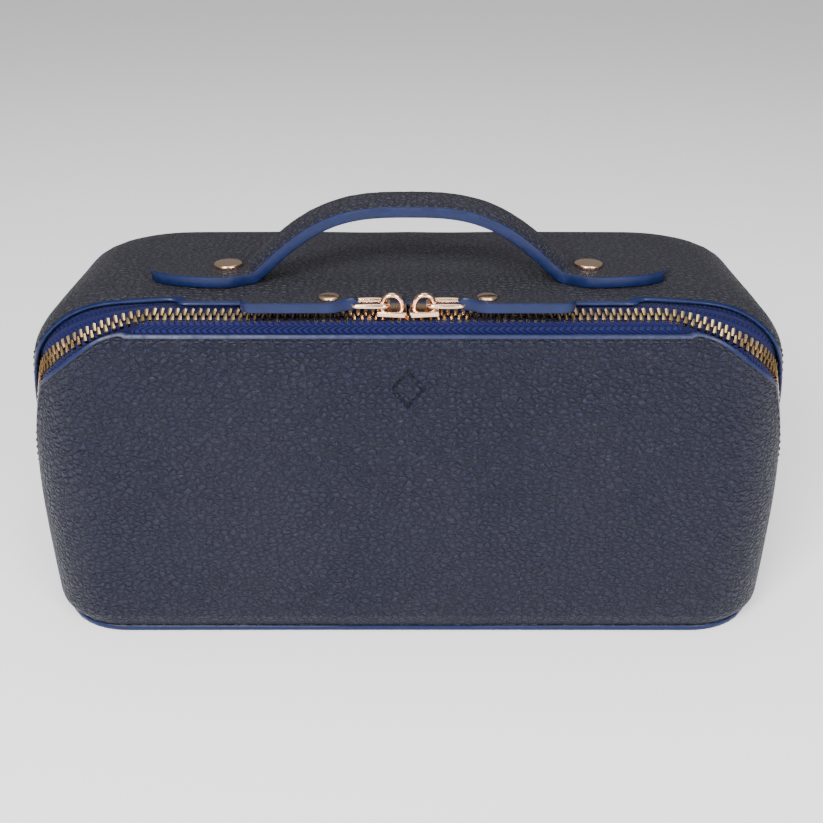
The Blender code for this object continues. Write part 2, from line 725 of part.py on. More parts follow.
def build_link(word, sign, mats):
    """The wire link between crown and tab: a closed loop with rounded corners."""
    corner = LINK_CORNER
    points = []
    near, far = LINK_X
    centres = [
        (far - corner, LINK_HALF_WIDTH - corner, 0),
        (near + corner, LINK_HALF_WIDTH - corner, 1),
        (near + corner, -LINK_HALF_WIDTH + corner, 2),
        (far - corner, -LINK_HALF_WIDTH + corner, 3),
    ]
    for x, y, quarter in centres:
        for k in range(LINK_CORNER_STEPS + 1):
            angle = (quarter + k / LINK_CORNER_STEPS) * math.pi / 2
            points.append((x + corner * math.cos(angle), y + corner * math.sin(angle)))
    curve = bpy.data.curves.new(f"pull_link_{word}", "CURVE")
    curve.dimensions = "3D"
    curve.bevel_depth = LINK_WIRE
    curve.bevel_resolution = 2
    spline = curve.splines.new("POLY")
    spline.points.add(len(points) - 1)
    for slot, (x, y) in zip(spline.points, points):
        slot.co = (sign * x, LINK_Y + y, LINK_Z, 1.0)
    spline.use_cyclic_u = True
    curve.materials.append(mats["rose_metal"])
    bpy.context.collection.objects.link(bpy.data.objects.new(f"pull_link_{word}", curve))


def build_tab(word, sign, mats):
    """The leather pull tab with the eye that turns on the link, and its rivet."""
    start, tip = TAB_X
    straight = tip - TAB_HALF_WIDTH
    shoulder = start + TAB_SHOULDER
    outline = [(start, TAB_NECK[0]), (shoulder, -TAB_HALF_WIDTH)]
    for k in range(TIP_STEPS + 1):
        angle = -math.pi / 2 + math.pi * k / TIP_STEPS
        along = straight + TAB_HALF_WIDTH * math.cos(angle)
        outline.append((along, TAB_HALF_WIDTH * math.sin(angle)))
    outline += [(shoulder, TAB_HALF_WIDTH), (start, TAB_NECK[1])]

    def flat(u, v, w):
        return Vector((sign * u, TAB_Y + v, w))

    tab = extruded(f"pull_tab_{word}", outline, flat, mats["leather"], *TAB_LEVELS)
    bar_x = LINK_X[1]
    root = start + TAB_EYE_ROOT
    outer = [(root, -TAB_EYE_RADIUS)]
    for k in range(ROUND_SIDES + 1):
        angle = -math.pi / 2 - math.pi * k / ROUND_SIDES
        along = bar_x + TAB_EYE_RADIUS * math.cos(angle)
        outer.append((along, TAB_EYE_RADIUS * math.sin(angle)))
    outer.append((root, TAB_EYE_RADIUS))
    hole = circle(bar_x, 0.0, TAB_EYE_HOLE, ROUND_SIDES)
    eye_width = (-TAB_EYE_HALF_WIDTH, TAB_EYE_HALF_WIDTH)
    bore_width = (-2 * TAB_EYE_HALF_WIDTH, 2 * TAB_EYE_HALF_WIDTH)

    def upright(u, v, w):
        return Vector((sign * u, LINK_Y + w, LINK_Z + v))

    combine(tab, extruded(f"eye_{word}", outer, upright, mats["leather"], *eye_width), "UNION")
    combine(tab, extruded(f"bore_{word}", hole, upright, mats["leather"], *bore_width), "DIFFERENCE")
    low, high = TAB_LEVELS
    hole_radius = TAB_POST_RADIUS + SEAT_GAP
    centre = Vector((sign * TAB_RIVET_X, TAB_Y, 0.0))
    punch = [(0.0, low - MM), (hole_radius, low - MM), (hole_radius, high + MM), (0.0, high + MM)]
    cutter = turned(f"tab_punch_{word}", punch, centre, mats["brass"], ROUND_SIDES)
    combine(tab, cutter, "DIFFERENCE")
    seat = high + SEAT_GAP
    rivet = [
        (0.0, low + TAB_POST_RECESS),
        (TAB_POST_RADIUS, low + TAB_POST_RECESS),
        (TAB_POST_RADIUS, seat),
        (TAB_RIVET_RADIUS, seat),
        (TAB_RIVET_RADIUS - TAB_RIVET_CHAMFER, seat + TAB_RIVET_CAP),
        (0.0, seat + TAB_RIVET_CAP),
    ]
    turned(f"pull_rivet_{word}", rivet, centre, mats["rose_metal"], TAB_RIVET_SIDES)


# ---------------------------------------------------------------- jewellery insert


def build_insert(mats):
    """The tray in the case: ring rolls on the left and divided bays on the right."""
    half_x, half_y = TRAY_HALF
    floor, top = TRAY_Z
    inner_x, inner_y = half_x - TRAY_WALL, half_y - TRAY_WALL
    outside = ((-half_x, -half_y, floor), (half_x, half_y, top))
    inside = ((-inner_x, -inner_y, floor + TRAY_WALL), (inner_x, inner_y, top + TRAY_WALL))
    tray = box("jewellery_tray", *outside, mats["board"], TRAY_ROUNDING)
    combine(tray, box("tray_well", *inside, mats["board"]), "DIFFERENCE")
    base = floor + TRAY_WALL + FIT_GAP
    wall_x = RING_WALL_X
    reach_y = inner_y - FIT_GAP
    box("ring_bay_wall", (wall_x, -reach_y, base), (wall_x + DIVIDER, reach_y, DIVIDER_TOP), mats["suede"])
    low_x = wall_x + DIVIDER + FIT_GAP
    high_x = inner_x - FIT_GAP
    box("long_divider", (low_x, -DIVIDER / 2, base), (high_x, DIVIDER / 2, DIVIDER_TOP), mats["suede"])
    beside = DIVIDER / 2 + FIT_GAP
    for name, x, y0, y1 in (
        ("cross_divider_front", mix(low_x, high_x, WIDE_BAY_SHARE), -reach_y, -beside),
        ("cross_divider_back", mix(high_x, low_x, WIDE_BAY_SHARE), beside, reach_y),
    ):
        box(name, (x, y0, base), (x + DIVIDER, y1, DIVIDER_TOP), mats["suede"])
    room = (wall_x - FIT_GAP) - (-inner_x + FIT_GAP)
    pitch = room / ROLL_COUNT
    ends = (-reach_y + FIT_GAP, reach_y - FIT_GAP)

    def lengthwise(u, v, w):
        return Vector((u, w, v))

    for k in range(ROLL_COUNT):
        middle = -inner_x + FIT_GAP + pitch * (k + 0.5)
        outline = circle(middle, base + ROLL_RADIUS, ROLL_RADIUS, ROUND_SIDES, phase=0.5)
        extruded(f"ring_roll_{k + 1}", outline, lengthwise, mats["suede"], *ends)


# ---------------------------------------------------------------- assembly


def main():
    for obj in list(bpy.data.objects):
        bpy.data.objects.remove(obj, do_unlink=True)
    mats = {
        "leather": material("leather", (0.052, 0.06, 0.098), 0.55),
        "board": material("board", (0.25, 0.25, 0.28), 0.8),
        "suede": material("suede", (0.16, 0.18, 0.27), 0.9),
        "tape": material("tape", (0.02, 0.035, 0.17), 0.75),
        "brass": material("brass", (0.72, 0.56, 0.3), 0.3, 1.0),
        "rose_metal": material("rose_metal", (0.83, 0.65, 0.5), 0.22, 1.0),
    }
    build_case(mats)
    lid_layers = build_lid(mats)
    build_zip(mats)
    build_hinge_fold(mats)
    build_handle(mats, lid_layers)
    for word, sign in (("left", -1.0), ("right", 1.0)):
        build_slider(word, sign, mats)
        build_link(word, sign, mats)
        build_tab(word, sign, mats)
    build_insert(mats)


main()
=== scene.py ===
"""Leather jewellery case: fine leather, zip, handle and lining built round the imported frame.

The body's outer skin is one smooth surface, addressed by two lengths: `run`, measured round the
plan outline from the middle of the front, and `rise`, measured up the wall and over the top
edge. Every leather, lining, tape and row of teeth is a layer of that surface, cut along one
parting line that the zip follows. Sizes are in metres; +X is right, +Y is back, +Z is up.
"""

import logging
import math
from dataclasses import dataclass
from enum import Enum
from typing import Callable, Sequence

import bpy
import numpy as np
from mathutils import Matrix, Vector, noise


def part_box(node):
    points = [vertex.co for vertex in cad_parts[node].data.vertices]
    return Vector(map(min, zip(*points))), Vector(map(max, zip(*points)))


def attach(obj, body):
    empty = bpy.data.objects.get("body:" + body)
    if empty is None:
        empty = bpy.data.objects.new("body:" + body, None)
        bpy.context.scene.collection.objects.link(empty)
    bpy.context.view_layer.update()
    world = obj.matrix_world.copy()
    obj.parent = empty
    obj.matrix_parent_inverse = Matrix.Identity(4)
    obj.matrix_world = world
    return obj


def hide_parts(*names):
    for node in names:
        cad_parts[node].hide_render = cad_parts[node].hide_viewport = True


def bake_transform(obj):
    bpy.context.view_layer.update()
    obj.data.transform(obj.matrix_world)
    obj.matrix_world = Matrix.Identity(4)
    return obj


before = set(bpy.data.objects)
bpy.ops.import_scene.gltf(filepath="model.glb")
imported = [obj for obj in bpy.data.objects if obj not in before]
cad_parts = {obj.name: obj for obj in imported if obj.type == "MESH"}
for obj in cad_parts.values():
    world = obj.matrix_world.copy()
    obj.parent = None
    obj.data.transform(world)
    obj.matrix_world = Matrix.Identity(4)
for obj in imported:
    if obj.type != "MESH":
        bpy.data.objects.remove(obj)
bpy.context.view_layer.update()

MM = 0.001
WELD = 2e-6
LOG = logging.getLogger("jewellery_case")
Pair = tuple[float, float]
Colour = tuple[float, float, float]


# ---------------------------------------------------------------- small sums


def mix(a: float, b: float, t: float) -> float:
    """The value a share `t` of the way from a to b."""
    return a + (b - a) * t


def clamp(value: float, low: float = 0.0, high: float = 1.0) -> float:
    """The value, kept between low and high."""
    return min(max(value, low), high)


def smooth(t: float) -> float:
    """An S-shaped step from 0 to 1."""
    t = clamp(t)
    return t * t * (3 - 2 * t)


def spaced(low: float, high: float, count: int) -> list[float]:
    """`count` + 1 even values from low to high."""
    return [mix(low, high, k / count) for k in range(count + 1)]


def middle_of(node: str) -> Vector:
    """The centre of a CAD node's box."""
    low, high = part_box(node)
    return (low + high) / 2


# ---------------------------------------------------------------- the body's surface


@dataclass(frozen=True)
class BodyShape:
    """The outer skin of case and lid, as one formula."""

    half_length: float = 125.0 * MM
    half_depth: float = 55.5 * MM
    height: float = 122.0 * MM
    corner_radius: float = 25.0 * MM
    end_flare: float = 4.4 * MM
    end_bulge: float = 4.7 * MM
    face_flare: float = 4.6 * MM
    top_radius_front: float = 14.0 * MM
    top_radius_end: float = 23.5 * MM
    top_radius_back: float = 25.0 * MM
    skirt_height: float = 2.3 * MM
    tuck_height: float = 6.0 * MM
    tuck_depth: float = 2.4 * MM

    @property
    def front_run(self) -> float:
        """The run from the middle of the front to the first corner."""
        return self.half_length - self.corner_radius

    @property
    def arc_run(self) -> float:
        """The run round one corner."""
        return self.corner_radius * math.pi / 2

    @property
    def end_run(self) -> float:
        """The run along one end wall."""
        return 2 * (self.half_depth - self.corner_radius)

    @property
    def half_run(self) -> float:
        """The run from the middle of the front to the middle of the back."""
        return 2 * self.front_run + 2 * self.arc_run + self.end_run

    def station(self, run: float) -> tuple[float, float, float, float]:
        """Where a run lies on the outline: corner side, straight share and outward normal."""
        end_wall = self.front_run + self.arc_run
        second_arc = end_wall + self.end_run
        back_wall = second_arc + self.arc_run
        if run < self.front_run:
            return run / self.front_run, -1.0, 0.0, -1.0
        if run < end_wall:
            turn = (run - self.front_run) / self.corner_radius
            return 1.0, -1.0, math.sin(turn), -math.cos(turn)
        if run < second_arc:
            return 1.0, mix(-1.0, 1.0, (run - end_wall) / self.end_run), 1.0, 0.0
        if run < back_wall:
            turn = (run - second_arc) / self.corner_radius
            return 1.0, 1.0, math.cos(turn), math.sin(turn)
        return max(0.0, 1.0 - (run - back_wall) / self.front_run), 1.0, 0.0, 1.0

    def top_radius(self, run: float) -> float:
        """The top edge's rounding, which grows from the front to the ends and the back."""
        corner = (run - self.front_run) / self.arc_run
        if corner < 1.0:
            return mix(self.top_radius_front, self.top_radius_end, clamp(corner))
        corner = (run - self.front_run - self.arc_run - self.end_run) / self.arc_run
        return mix(self.top_radius_end, self.top_radius_back, clamp(corner))

    def rim_rise(self, run: float) -> float:
        """The rise at which the rounding meets the flat top."""
        return self.height + self.top_radius(run) * (math.pi / 2 - 1)

    def point(self, run: float, rise: float, depth: float = 0.0, side: float = 1.0) -> Vector:
        """A point of the body.

        Args:
            run: length round the outline from the middle of the front.
            rise: length up the wall and over the top edge.
            depth: distance below the outer skin.
            side: 1 on the right half, -1 on its mirror image.

        Returns:
            The point, in metres.
        """
        along, across, nx, ny = self.station(run)
        radius = self.top_radius(run)
        turn = clamp((rise - (self.height - radius)) / radius, 0.0, math.pi / 2)
        z = rise if turn == 0.0 else self.height - radius * (1 - math.sin(turn))
        share = 1 - z / self.height
        low = clamp(1 - (z - self.skirt_height) / self.tuck_height)
        tuck = self.tuck_depth * low * low
        inset = 1 - math.cos(turn)
        half = self.half_length + self.end_flare * share
        half += self.end_bulge * math.sin(math.pi * z / self.height)
        half -= self.top_radius_end * inset + tuck
        face = self.half_depth + self.face_flare * share - tuck
        front = face - self.top_radius_front * inset
        back = face - self.top_radius_back * inset
        x = along * (half - self.corner_radius) + nx * self.corner_radius
        y = mix(-front + self.corner_radius, back - self.corner_radius, (across + 1) / 2)
        y += ny * self.corner_radius
        level = math.cos(turn)
        x -= nx * level * depth
        y -= ny * level * depth
        return Vector((side * x, y, z - math.sin(turn) * depth))


@dataclass(frozen=True)
class Spot:
    """A place on the surface with its own axes."""

    place: Vector
    along: Vector
    across: Vector
    out: Vector

    def matrix(self) -> Matrix:
        """The transform that puts a piece modelled at the origin here."""
        axes = Matrix((self.along, self.across, self.out)).transposed().to_4x4()
        return Matrix.Translation(self.place) @ axes


@dataclass(frozen=True)
class PartingLine:
    """The line between case and lid: front run, corner bend, side bend and back fold."""

    body: BodyShape = BodyShape()
    zip_rise: float = 121.2 * MM
    front_straight: float = 91.0 * MM
    corner_bend: tuple[Pair, ...] = ((91.0, 121.2), (98.5, 121.2), (102.5, 115.2), (125.4, 96.8))
    side_bend: tuple[Pair, ...] = ((125.4, 96.8), (133.0, 90.6), (133.0, 31.0), (214.5, 31.0))
    fold_rise: float = 31.0 * MM
    zip_end: float = 205.0 * MM
    fold_start: float = 226.0 * MM
    chain_slope: float = 0.17
    chain_flat: float = 3.2 * MM
    chain_fade: float = 6.8 * MM
    slope_step: float = 0.002

    def at(self, turn: float) -> Pair:
        """The line's run and rise for a turn value from 0, front middle, to 4, back middle."""
        if turn < 1.0:
            return self.front_straight * turn, self.zip_rise
        if turn < 3.0:
            points = self.corner_bend if turn < 2.0 else self.side_bend
            t = turn - math.floor(turn)
            shares = ((1 - t) ** 3, 3 * t * (1 - t) ** 2, 3 * t * t * (1 - t), t ** 3)
            run, rise = [sum(w * point[k] for w, point in zip(shares, points)) for k in (0, 1)]
            return run * MM, rise * MM
        return mix(self.side_bend[-1][0] * MM, self.body.half_run, turn - 3.0), self.fold_rise

    def swell(self, turn: float, grow: Pair, fall: Pair) -> float:
        """A share that grows to 1 over one stretch of run and falls back over another."""
        run = self.at(turn)[0]
        grown = smooth((run - grow[0]) / (grow[1] - grow[0]))
        return grown * (1 - smooth((run - fall[0]) / (fall[1] - fall[0])))

    def corner_flare(self, turn: float) -> float:
        """How far the lid's edge has opened away from the zip, 1 at the front corners."""
        return self.swell(turn, (86 * MM, 107 * MM), (107 * MM, 127 * MM))

    def corner_pinch(self, turn: float) -> float:
        """How far the case's edge has closed up to the zip, 1 at the front corners."""
        return self.swell(turn, (90 * MM, 104 * MM), (125 * MM, 165 * MM))

    def beside(self, turn: float, offset: float) -> Pair:
        """The run and rise a distance from the line, positive on the lid's side."""
        low = self.at(max(turn - self.slope_step, 0.0))
        high = self.at(min(turn + self.slope_step, 4.0))
        run, rise = self.at(turn)
        dx, dy = high[0] - low[0], high[1] - low[1]
        size = math.hypot(dx, dy)
        return run - offset * dy / size, rise + offset * dx / size

    def edge(self, turn: float, at_zip: float, at_fold: float) -> float:
        """A leather edge's distance from the line, which closes up along the back fold."""
        share = (self.at(turn)[0] - self.zip_end) / (self.fold_start - self.zip_end)
        return mix(at_zip, at_fold, smooth(share))

    def turn_at(self, target: float) -> float:
        """The turn value at which the side bend or the fold reaches a run."""
        low, high = 2.0, 4.0
        for _ in range(40):
            middle = (low + high) / 2
            low, high = (middle, high) if self.at(middle)[0] < target else (low, middle)
        return high

    def chain_tilt(self, offset: float) -> float:
        """Extra depth beside the line, because the chain lies flatter than the skin."""
        fade = clamp((self.chain_fade - abs(offset)) / (self.chain_fade - self.chain_flat))
        return self.chain_slope * clamp(offset, -self.chain_flat, self.chain_flat) * fade

    def spot(self, turn: float, side: float, offset: float, depth: float) -> Vector:
        """A point beside the line, at a depth, on the right or the left half."""
        run, rise = self.beside(turn, offset)
        return self.body.point(run, rise, depth + self.chain_tilt(offset), side)

    def path(self, start: float, end: float, step: float) -> list[tuple[float, float]]:
        """Turn values from the left end, round the front, to the right end.

        Args:
            start: the first turn value out from the front's middle.
            end: the last one.
            step: the spacing between them.

        Returns:
            Pairs of turn value and side.
        """
        count = max(1, round((end - start) / step))
        turns = spaced(start, end, count)
        if start == 0.0:
            return [(turn, -1.0) for turn in turns[:0:-1]] + [(turn, 1.0) for turn in turns]
        return [(turn, 1.0) for turn in turns]

    def walk(
        self, offset: float, depth: float, pitch: float, phase: float, end: float, flare: float = 0.0
    ) -> list[Spot]:
        """Evenly spaced spots beside the line, from the left end of the zip to the right.

        Args:
            offset: distance from the line, positive on the lid's side.
            depth: distance below the skin.
            pitch: spacing along the line.
            phase: share of the pitch before the first spot.
            end: the turn value at which the row stops on each side.
            flare: extra offset at the front corners; below zero it is a pinch of the case's side.

        Returns:
            The spots, each with its axes.
        """
        fine = self.path(0.0, end, 0.0025)
        share = self.corner_pinch if offset < 0 else self.corner_flare
        points = [self.spot(turn, side, offset + flare * share(turn), depth) for turn, side in fine]
        steps = [0.0] + [(b - a).length for a, b in zip(points, points[1:])]
        lengths = np.cumsum(steps)
        wanted = np.arange(phase * pitch, lengths[-1], pitch)
        spots = []
        for target in wanted:
            k = int(clamp(np.searchsorted(lengths, target), 1, len(points) - 2))
            turn, side = fine[k]
            along = (points[k + 1] - points[k - 1]).normalized()
            above = self.spot(turn, side, offset + MM, depth)
            across = above - self.spot(turn, side, offset - MM, depth)
            across = (across - along * across.dot(along)).normalized()
            spots.append(Spot(points[k], along, across, along.cross(across)))
        return spots


# ---------------------------------------------------------------- mesh work


def deselect() -> None:
    """Nothing selected, in object mode."""
    if bpy.context.object and bpy.context.object.mode != "OBJECT":
        bpy.ops.object.mode_set(mode="OBJECT")
    bpy.ops.object.select_all(action="DESELECT")


def choose(piece: bpy.types.Object) -> None:
    """Only this piece selected and active."""
    deselect()
    piece.select_set(True)
    bpy.context.view_layer.objects.active = piece


def named(name: str) -> bpy.types.Object:
    """The object just added, with its name set."""
    piece = bpy.context.active_object
    piece.name = name
    piece.data.name = name
    return piece


def close_up(piece: bpy.types.Object, weld: bool = True) -> None:
    """Point a piece's faces outwards, with its seams welded and its open ends filled first."""
    choose(piece)
    bpy.ops.object.mode_set(mode="EDIT")
    bpy.ops.mesh.select_all(action="SELECT")
    if weld:
        bpy.ops.mesh.remove_doubles(threshold=WELD)
        bpy.ops.mesh.fill_holes(sides=0)
    bpy.ops.mesh.normals_make_consistent(inside=False)
    bpy.ops.object.mode_set(mode="OBJECT")


def wrap(
    name: str,
    grid: Sequence[Sequence[Vector]],
    ring: bool = False,
    tube: bool = False,
    dress: Callable[[int, int], int] | None = None,
    uv_size: Pair | None = None,
) -> bpy.types.Object:
    """Lay a grid primitive over rows of points and close it into a solid.

    Args:
        name: the piece's name.
        grid: columns of points; every column has as many.
        ring: whether the last column meets the first.
        tube: whether the last point of a column meets its first.
        dress: the material index for a column and a row.
        uv_size: the length along and across the columns, for a pattern that follows them.

    Returns:
        The closed piece.
    """
    across, up = len(grid), len(grid[0])
    columns, rows = across - (not ring), up - (not tube)
    deselect()
    bpy.ops.mesh.primitive_grid_add(x_subdivisions=columns, y_subdivisions=rows, size=1.0)
    piece = named(name)
    mesh = piece.data
    if dress:
        for polygon in mesh.polygons:
            i = int((polygon.center.x + 0.5) * columns)
            j = int((polygon.center.y + 0.5) * rows)
            polygon.material_index = dress(i, j)
    if uv_size:
        for loop in mesh.uv_layers[0].data:
            loop.uv = (loop.uv[0] * uv_size[0], loop.uv[1] * uv_size[1])
    for vertex in mesh.vertices:
        i = round((vertex.co.x + 0.5) * columns) % across
        j = round((vertex.co.y + 0.5) * rows) % up
        vertex.co = grid[i][j]
    close_up(piece)
    return piece


def apply_all(piece: bpy.types.Object) -> bpy.types.Object:
    """Apply every modifier of a piece, in order."""
    choose(piece)
    for modifier in list(piece.modifiers):
        bpy.ops.object.modifier_apply(modifier=modifier.name)
    return piece


def round_edges(piece: bpy.types.Object, width: float, segments: int = 2) -> bpy.types.Object:
    """Bevel a piece's sharp edges and apply the result."""
    bevel = piece.modifiers.new("rounding", "BEVEL")
    bevel.width = width
    bevel.segments = segments
    bevel.limit_method = "ANGLE"
    return apply_all(piece)


def shade(piece: bpy.types.Object, degrees: float = 35.0) -> None:
    """Smooth shading, with edges sharper than the angle kept."""
    choose(piece)
    bpy.ops.object.shade_smooth_by_angle(angle=math.radians(degrees))


def block(name: str, low: Vector, high: Vector, rounding: float, segments: int = 3) -> bpy.types.Object:
    """A rounded block between two corners."""
    deselect()
    bpy.ops.mesh.primitive_cube_add(size=1.0)
    piece = named(name)
    size, centre = high - low, (low + high) / 2
    for vertex in piece.data.vertices:
        vertex.co = centre + Vector([vertex.co[k] * size[k] for k in range(3)])
    return round_edges(piece, rounding, segments)


def swept(
    name: str,
    points: Sequence[Vector],
    side: Vector,
    radii: Sequence[Pair],
    closed: bool = False,
    sides: int = 16,
) -> bpy.types.Object:
    """A tube of oval section along points that lie in one plane.

    Args:
        name: the piece's name.
        points: the centre line.
        side: the plane's normal.
        radii: for each point, the radius in the plane and across it.
        closed: whether the line is a loop.
        sides: points round the section.

    Returns:
        The closed tube.
    """
    grid = []
    count = len(points)
    for k, (point, (inner, outer)) in enumerate(zip(points, radii)):
        before = points[k - 1] if k or closed else point
        after = points[(k + 1) % count] if k < count - 1 or closed else point
        normal = (after - before).cross(side).normalized()
        angles = [2 * math.pi * n / sides for n in range(sides)]
        grid.append([point + normal * inner * math.cos(a) + side * outer * math.sin(a) for a in angles])
    return wrap(name, grid, ring=closed, tube=True)


def turned(name: str, centre: Vector, profile: Sequence[Pair], sides: int = 48) -> bpy.types.Object:
    """A solid of revolution about a vertical axis, from (radius, height) points."""
    grid = []
    for k in range(sides):
        angle = 2 * math.pi * k / sides
        ray = Vector((math.cos(angle), math.sin(angle), 0.0))
        grid.append([centre + ray * radius + Vector((0, 0, height)) for radius, height in profile])
    return wrap(name, grid, ring=True)


def scattered(name: str, pattern: bpy.types.Object, spots: Sequence[Spot]) -> bpy.types.Object:
    """One mesh that holds a copy of a small pattern piece at every spot.

    Args:
        name: the new piece's name.
        pattern: the piece modelled at the origin, removed afterwards.
        spots: where the copies go.

    Returns:
        The new piece.
    """
    source = pattern.data
    corners = np.array([vertex.co[:] for vertex in source.vertices])
    faces = [tuple(polygon.vertices) for polygon in source.polygons]
    points, polygons = [], []
    for k, spot in enumerate(spots):
        matrix = np.array(spot.matrix())
        points.append(corners @ matrix[:3, :3].T + matrix[:3, 3])
        shift = k * len(corners)
        polygons += [tuple(index + shift for index in face) for face in faces]
    mesh = bpy.data.meshes.new(name)
    mesh.from_pydata(np.concatenate(points).tolist(), [], polygons)
    bpy.data.objects.remove(pattern)
    piece = bpy.data.objects.new(name, mesh)
    bpy.context.collection.objects.link(piece)
    return piece


def finished(
    piece: bpy.types.Object,
    body: str,
    materials: Sequence[bpy.types.Material],
    nodes: Sequence[str] = (),
) -> bpy.types.Object:
    """Dress a piece, let it ride on its body and hide the CAD nodes that it replaces.

    Args:
        piece: the finished mesh.
        body: the CAD body it moves with.
        materials: its materials, in the order of its faces' indices.
        nodes: the CAD nodes that it replaces.

    Returns:
        The piece.
    """
    shade(piece)
    for material in materials:
        piece.data.materials.append(material)
    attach(piece, body)
    if nodes:
        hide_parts(*nodes)
    LOG.info("%s: %d faces on %s", piece.name, len(piece.data.polygons), body)
    return piece


def folding(
    piece: bpy.types.Object, material: bpy.types.Material, node: str, fold: float
) -> None:
    """Dress a leather strip between case and lid, hide its CAD node and bake its transform into its mesh.

    Args:
        piece: the strip.
        material: its leather.
        node: the CAD node that it replaces.
        fold: not used.
    """
    shade(piece)
    piece.data.materials.append(material)
    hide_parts(node)
    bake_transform(piece)


# ---------------------------------------------------------------- shader work


class Wiring:
    """Adds nodes to one node tree and joins them."""

    def __init__(self, tree: bpy.types.NodeTree) -> None:
        """Start on a tree."""
        self.tree = tree

    def feed(self, socket: bpy.types.NodeSocket, value: object) -> None:
        """Give an input a value, or the socket that drives it."""
        if isinstance(value, bpy.types.NodeSocket):
            self.tree.links.new(value, socket)
        else:
            socket.default_value = value

    def finish(self, shader: bpy.types.Node, height: object, distance: float, values: dict) -> None:
        """Give a shader its surface relief and its inputs."""
        relief = self.add("Bump", {"Height": height, "Distance": distance})
        for name, value in {"Normal": relief.outputs["Normal"], **values}.items():
            self.feed(shader.inputs[name], value)

    def add(self, kind: str, values: dict | None = None, **settings: object) -> bpy.types.Node:
        """Add a node.

        Args:
            kind: the node type, without its ShaderNode prefix.
            values: input names with a value or with the socket that feeds them.
            settings: the node's own properties.

        Returns:
            The node.
        """
        node = self.tree.nodes.new("ShaderNode" + kind)
        for name, value in settings.items():
            setattr(node, name, value)
        for name, value in (values or {}).items():
            self.feed(node.inputs[name], value)
        return node

    def math(self, operation: str, *values: object) -> bpy.types.NodeSocket:
        """A Math node's result, from numbers or sockets."""
        return self.add("Math", dict(enumerate(values)), operation=operation).outputs[0]

    def blend(self, share: object, a: object, b: object) -> bpy.types.NodeSocket:
        """A colour between a and b."""
        node = self.add("Mix", data_type="RGBA")
        for name, value in (("Factor_Float", share), ("A_Color", a), ("B_Color", b)):
            socket = next(s for s in node.inputs if s.identifier == name)
            self.feed(socket, value)
        return next(s for s in node.outputs if s.identifier == "Result_Color")

    def ramp(self, value: object, low: float, high: float) -> bpy.types.NodeSocket:
        """A smooth 0 to 1 step between two values."""
        values = {"Value": value, "From Min": low, "From Max": high}
        return self.add("MapRange", values, interpolation_type="SMOOTHSTEP").outputs["Result"]


def new_group(name: str, inputs: Sequence[tuple[str, str, object]], outputs: Sequence[str]) -> tuple:
    """A shader node group with its sockets.

    Args:
        name: the group's name.
        inputs: name, socket type and default of each input.
        outputs: names of the value outputs.

    Returns:
        The group, its wiring, its input sockets by name, and its output node.
    """
    group = bpy.data.node_groups.new(name, "ShaderNodeTree")
    for label, kind, default in inputs:
        socket = group.interface.new_socket(label, in_out="INPUT", socket_type="NodeSocket" + kind)
        if default is not None:
            socket.default_value = default
    for label in outputs:
        group.interface.new_socket(label, in_out="OUTPUT", socket_type="NodeSocketFloat")
    source = group.nodes.new("NodeGroupInput")
    target = group.nodes.new("NodeGroupOutput")
    return group, Wiring(group), source.outputs, target.inputs


class Effect(Enum):
    """The surface effects that several materials share."""

    PEBBLE = "pebbled grain"
    WEAVE = "herringbone weave"
    NAP = "soft nap"
    HANDLING = "marks of handling"


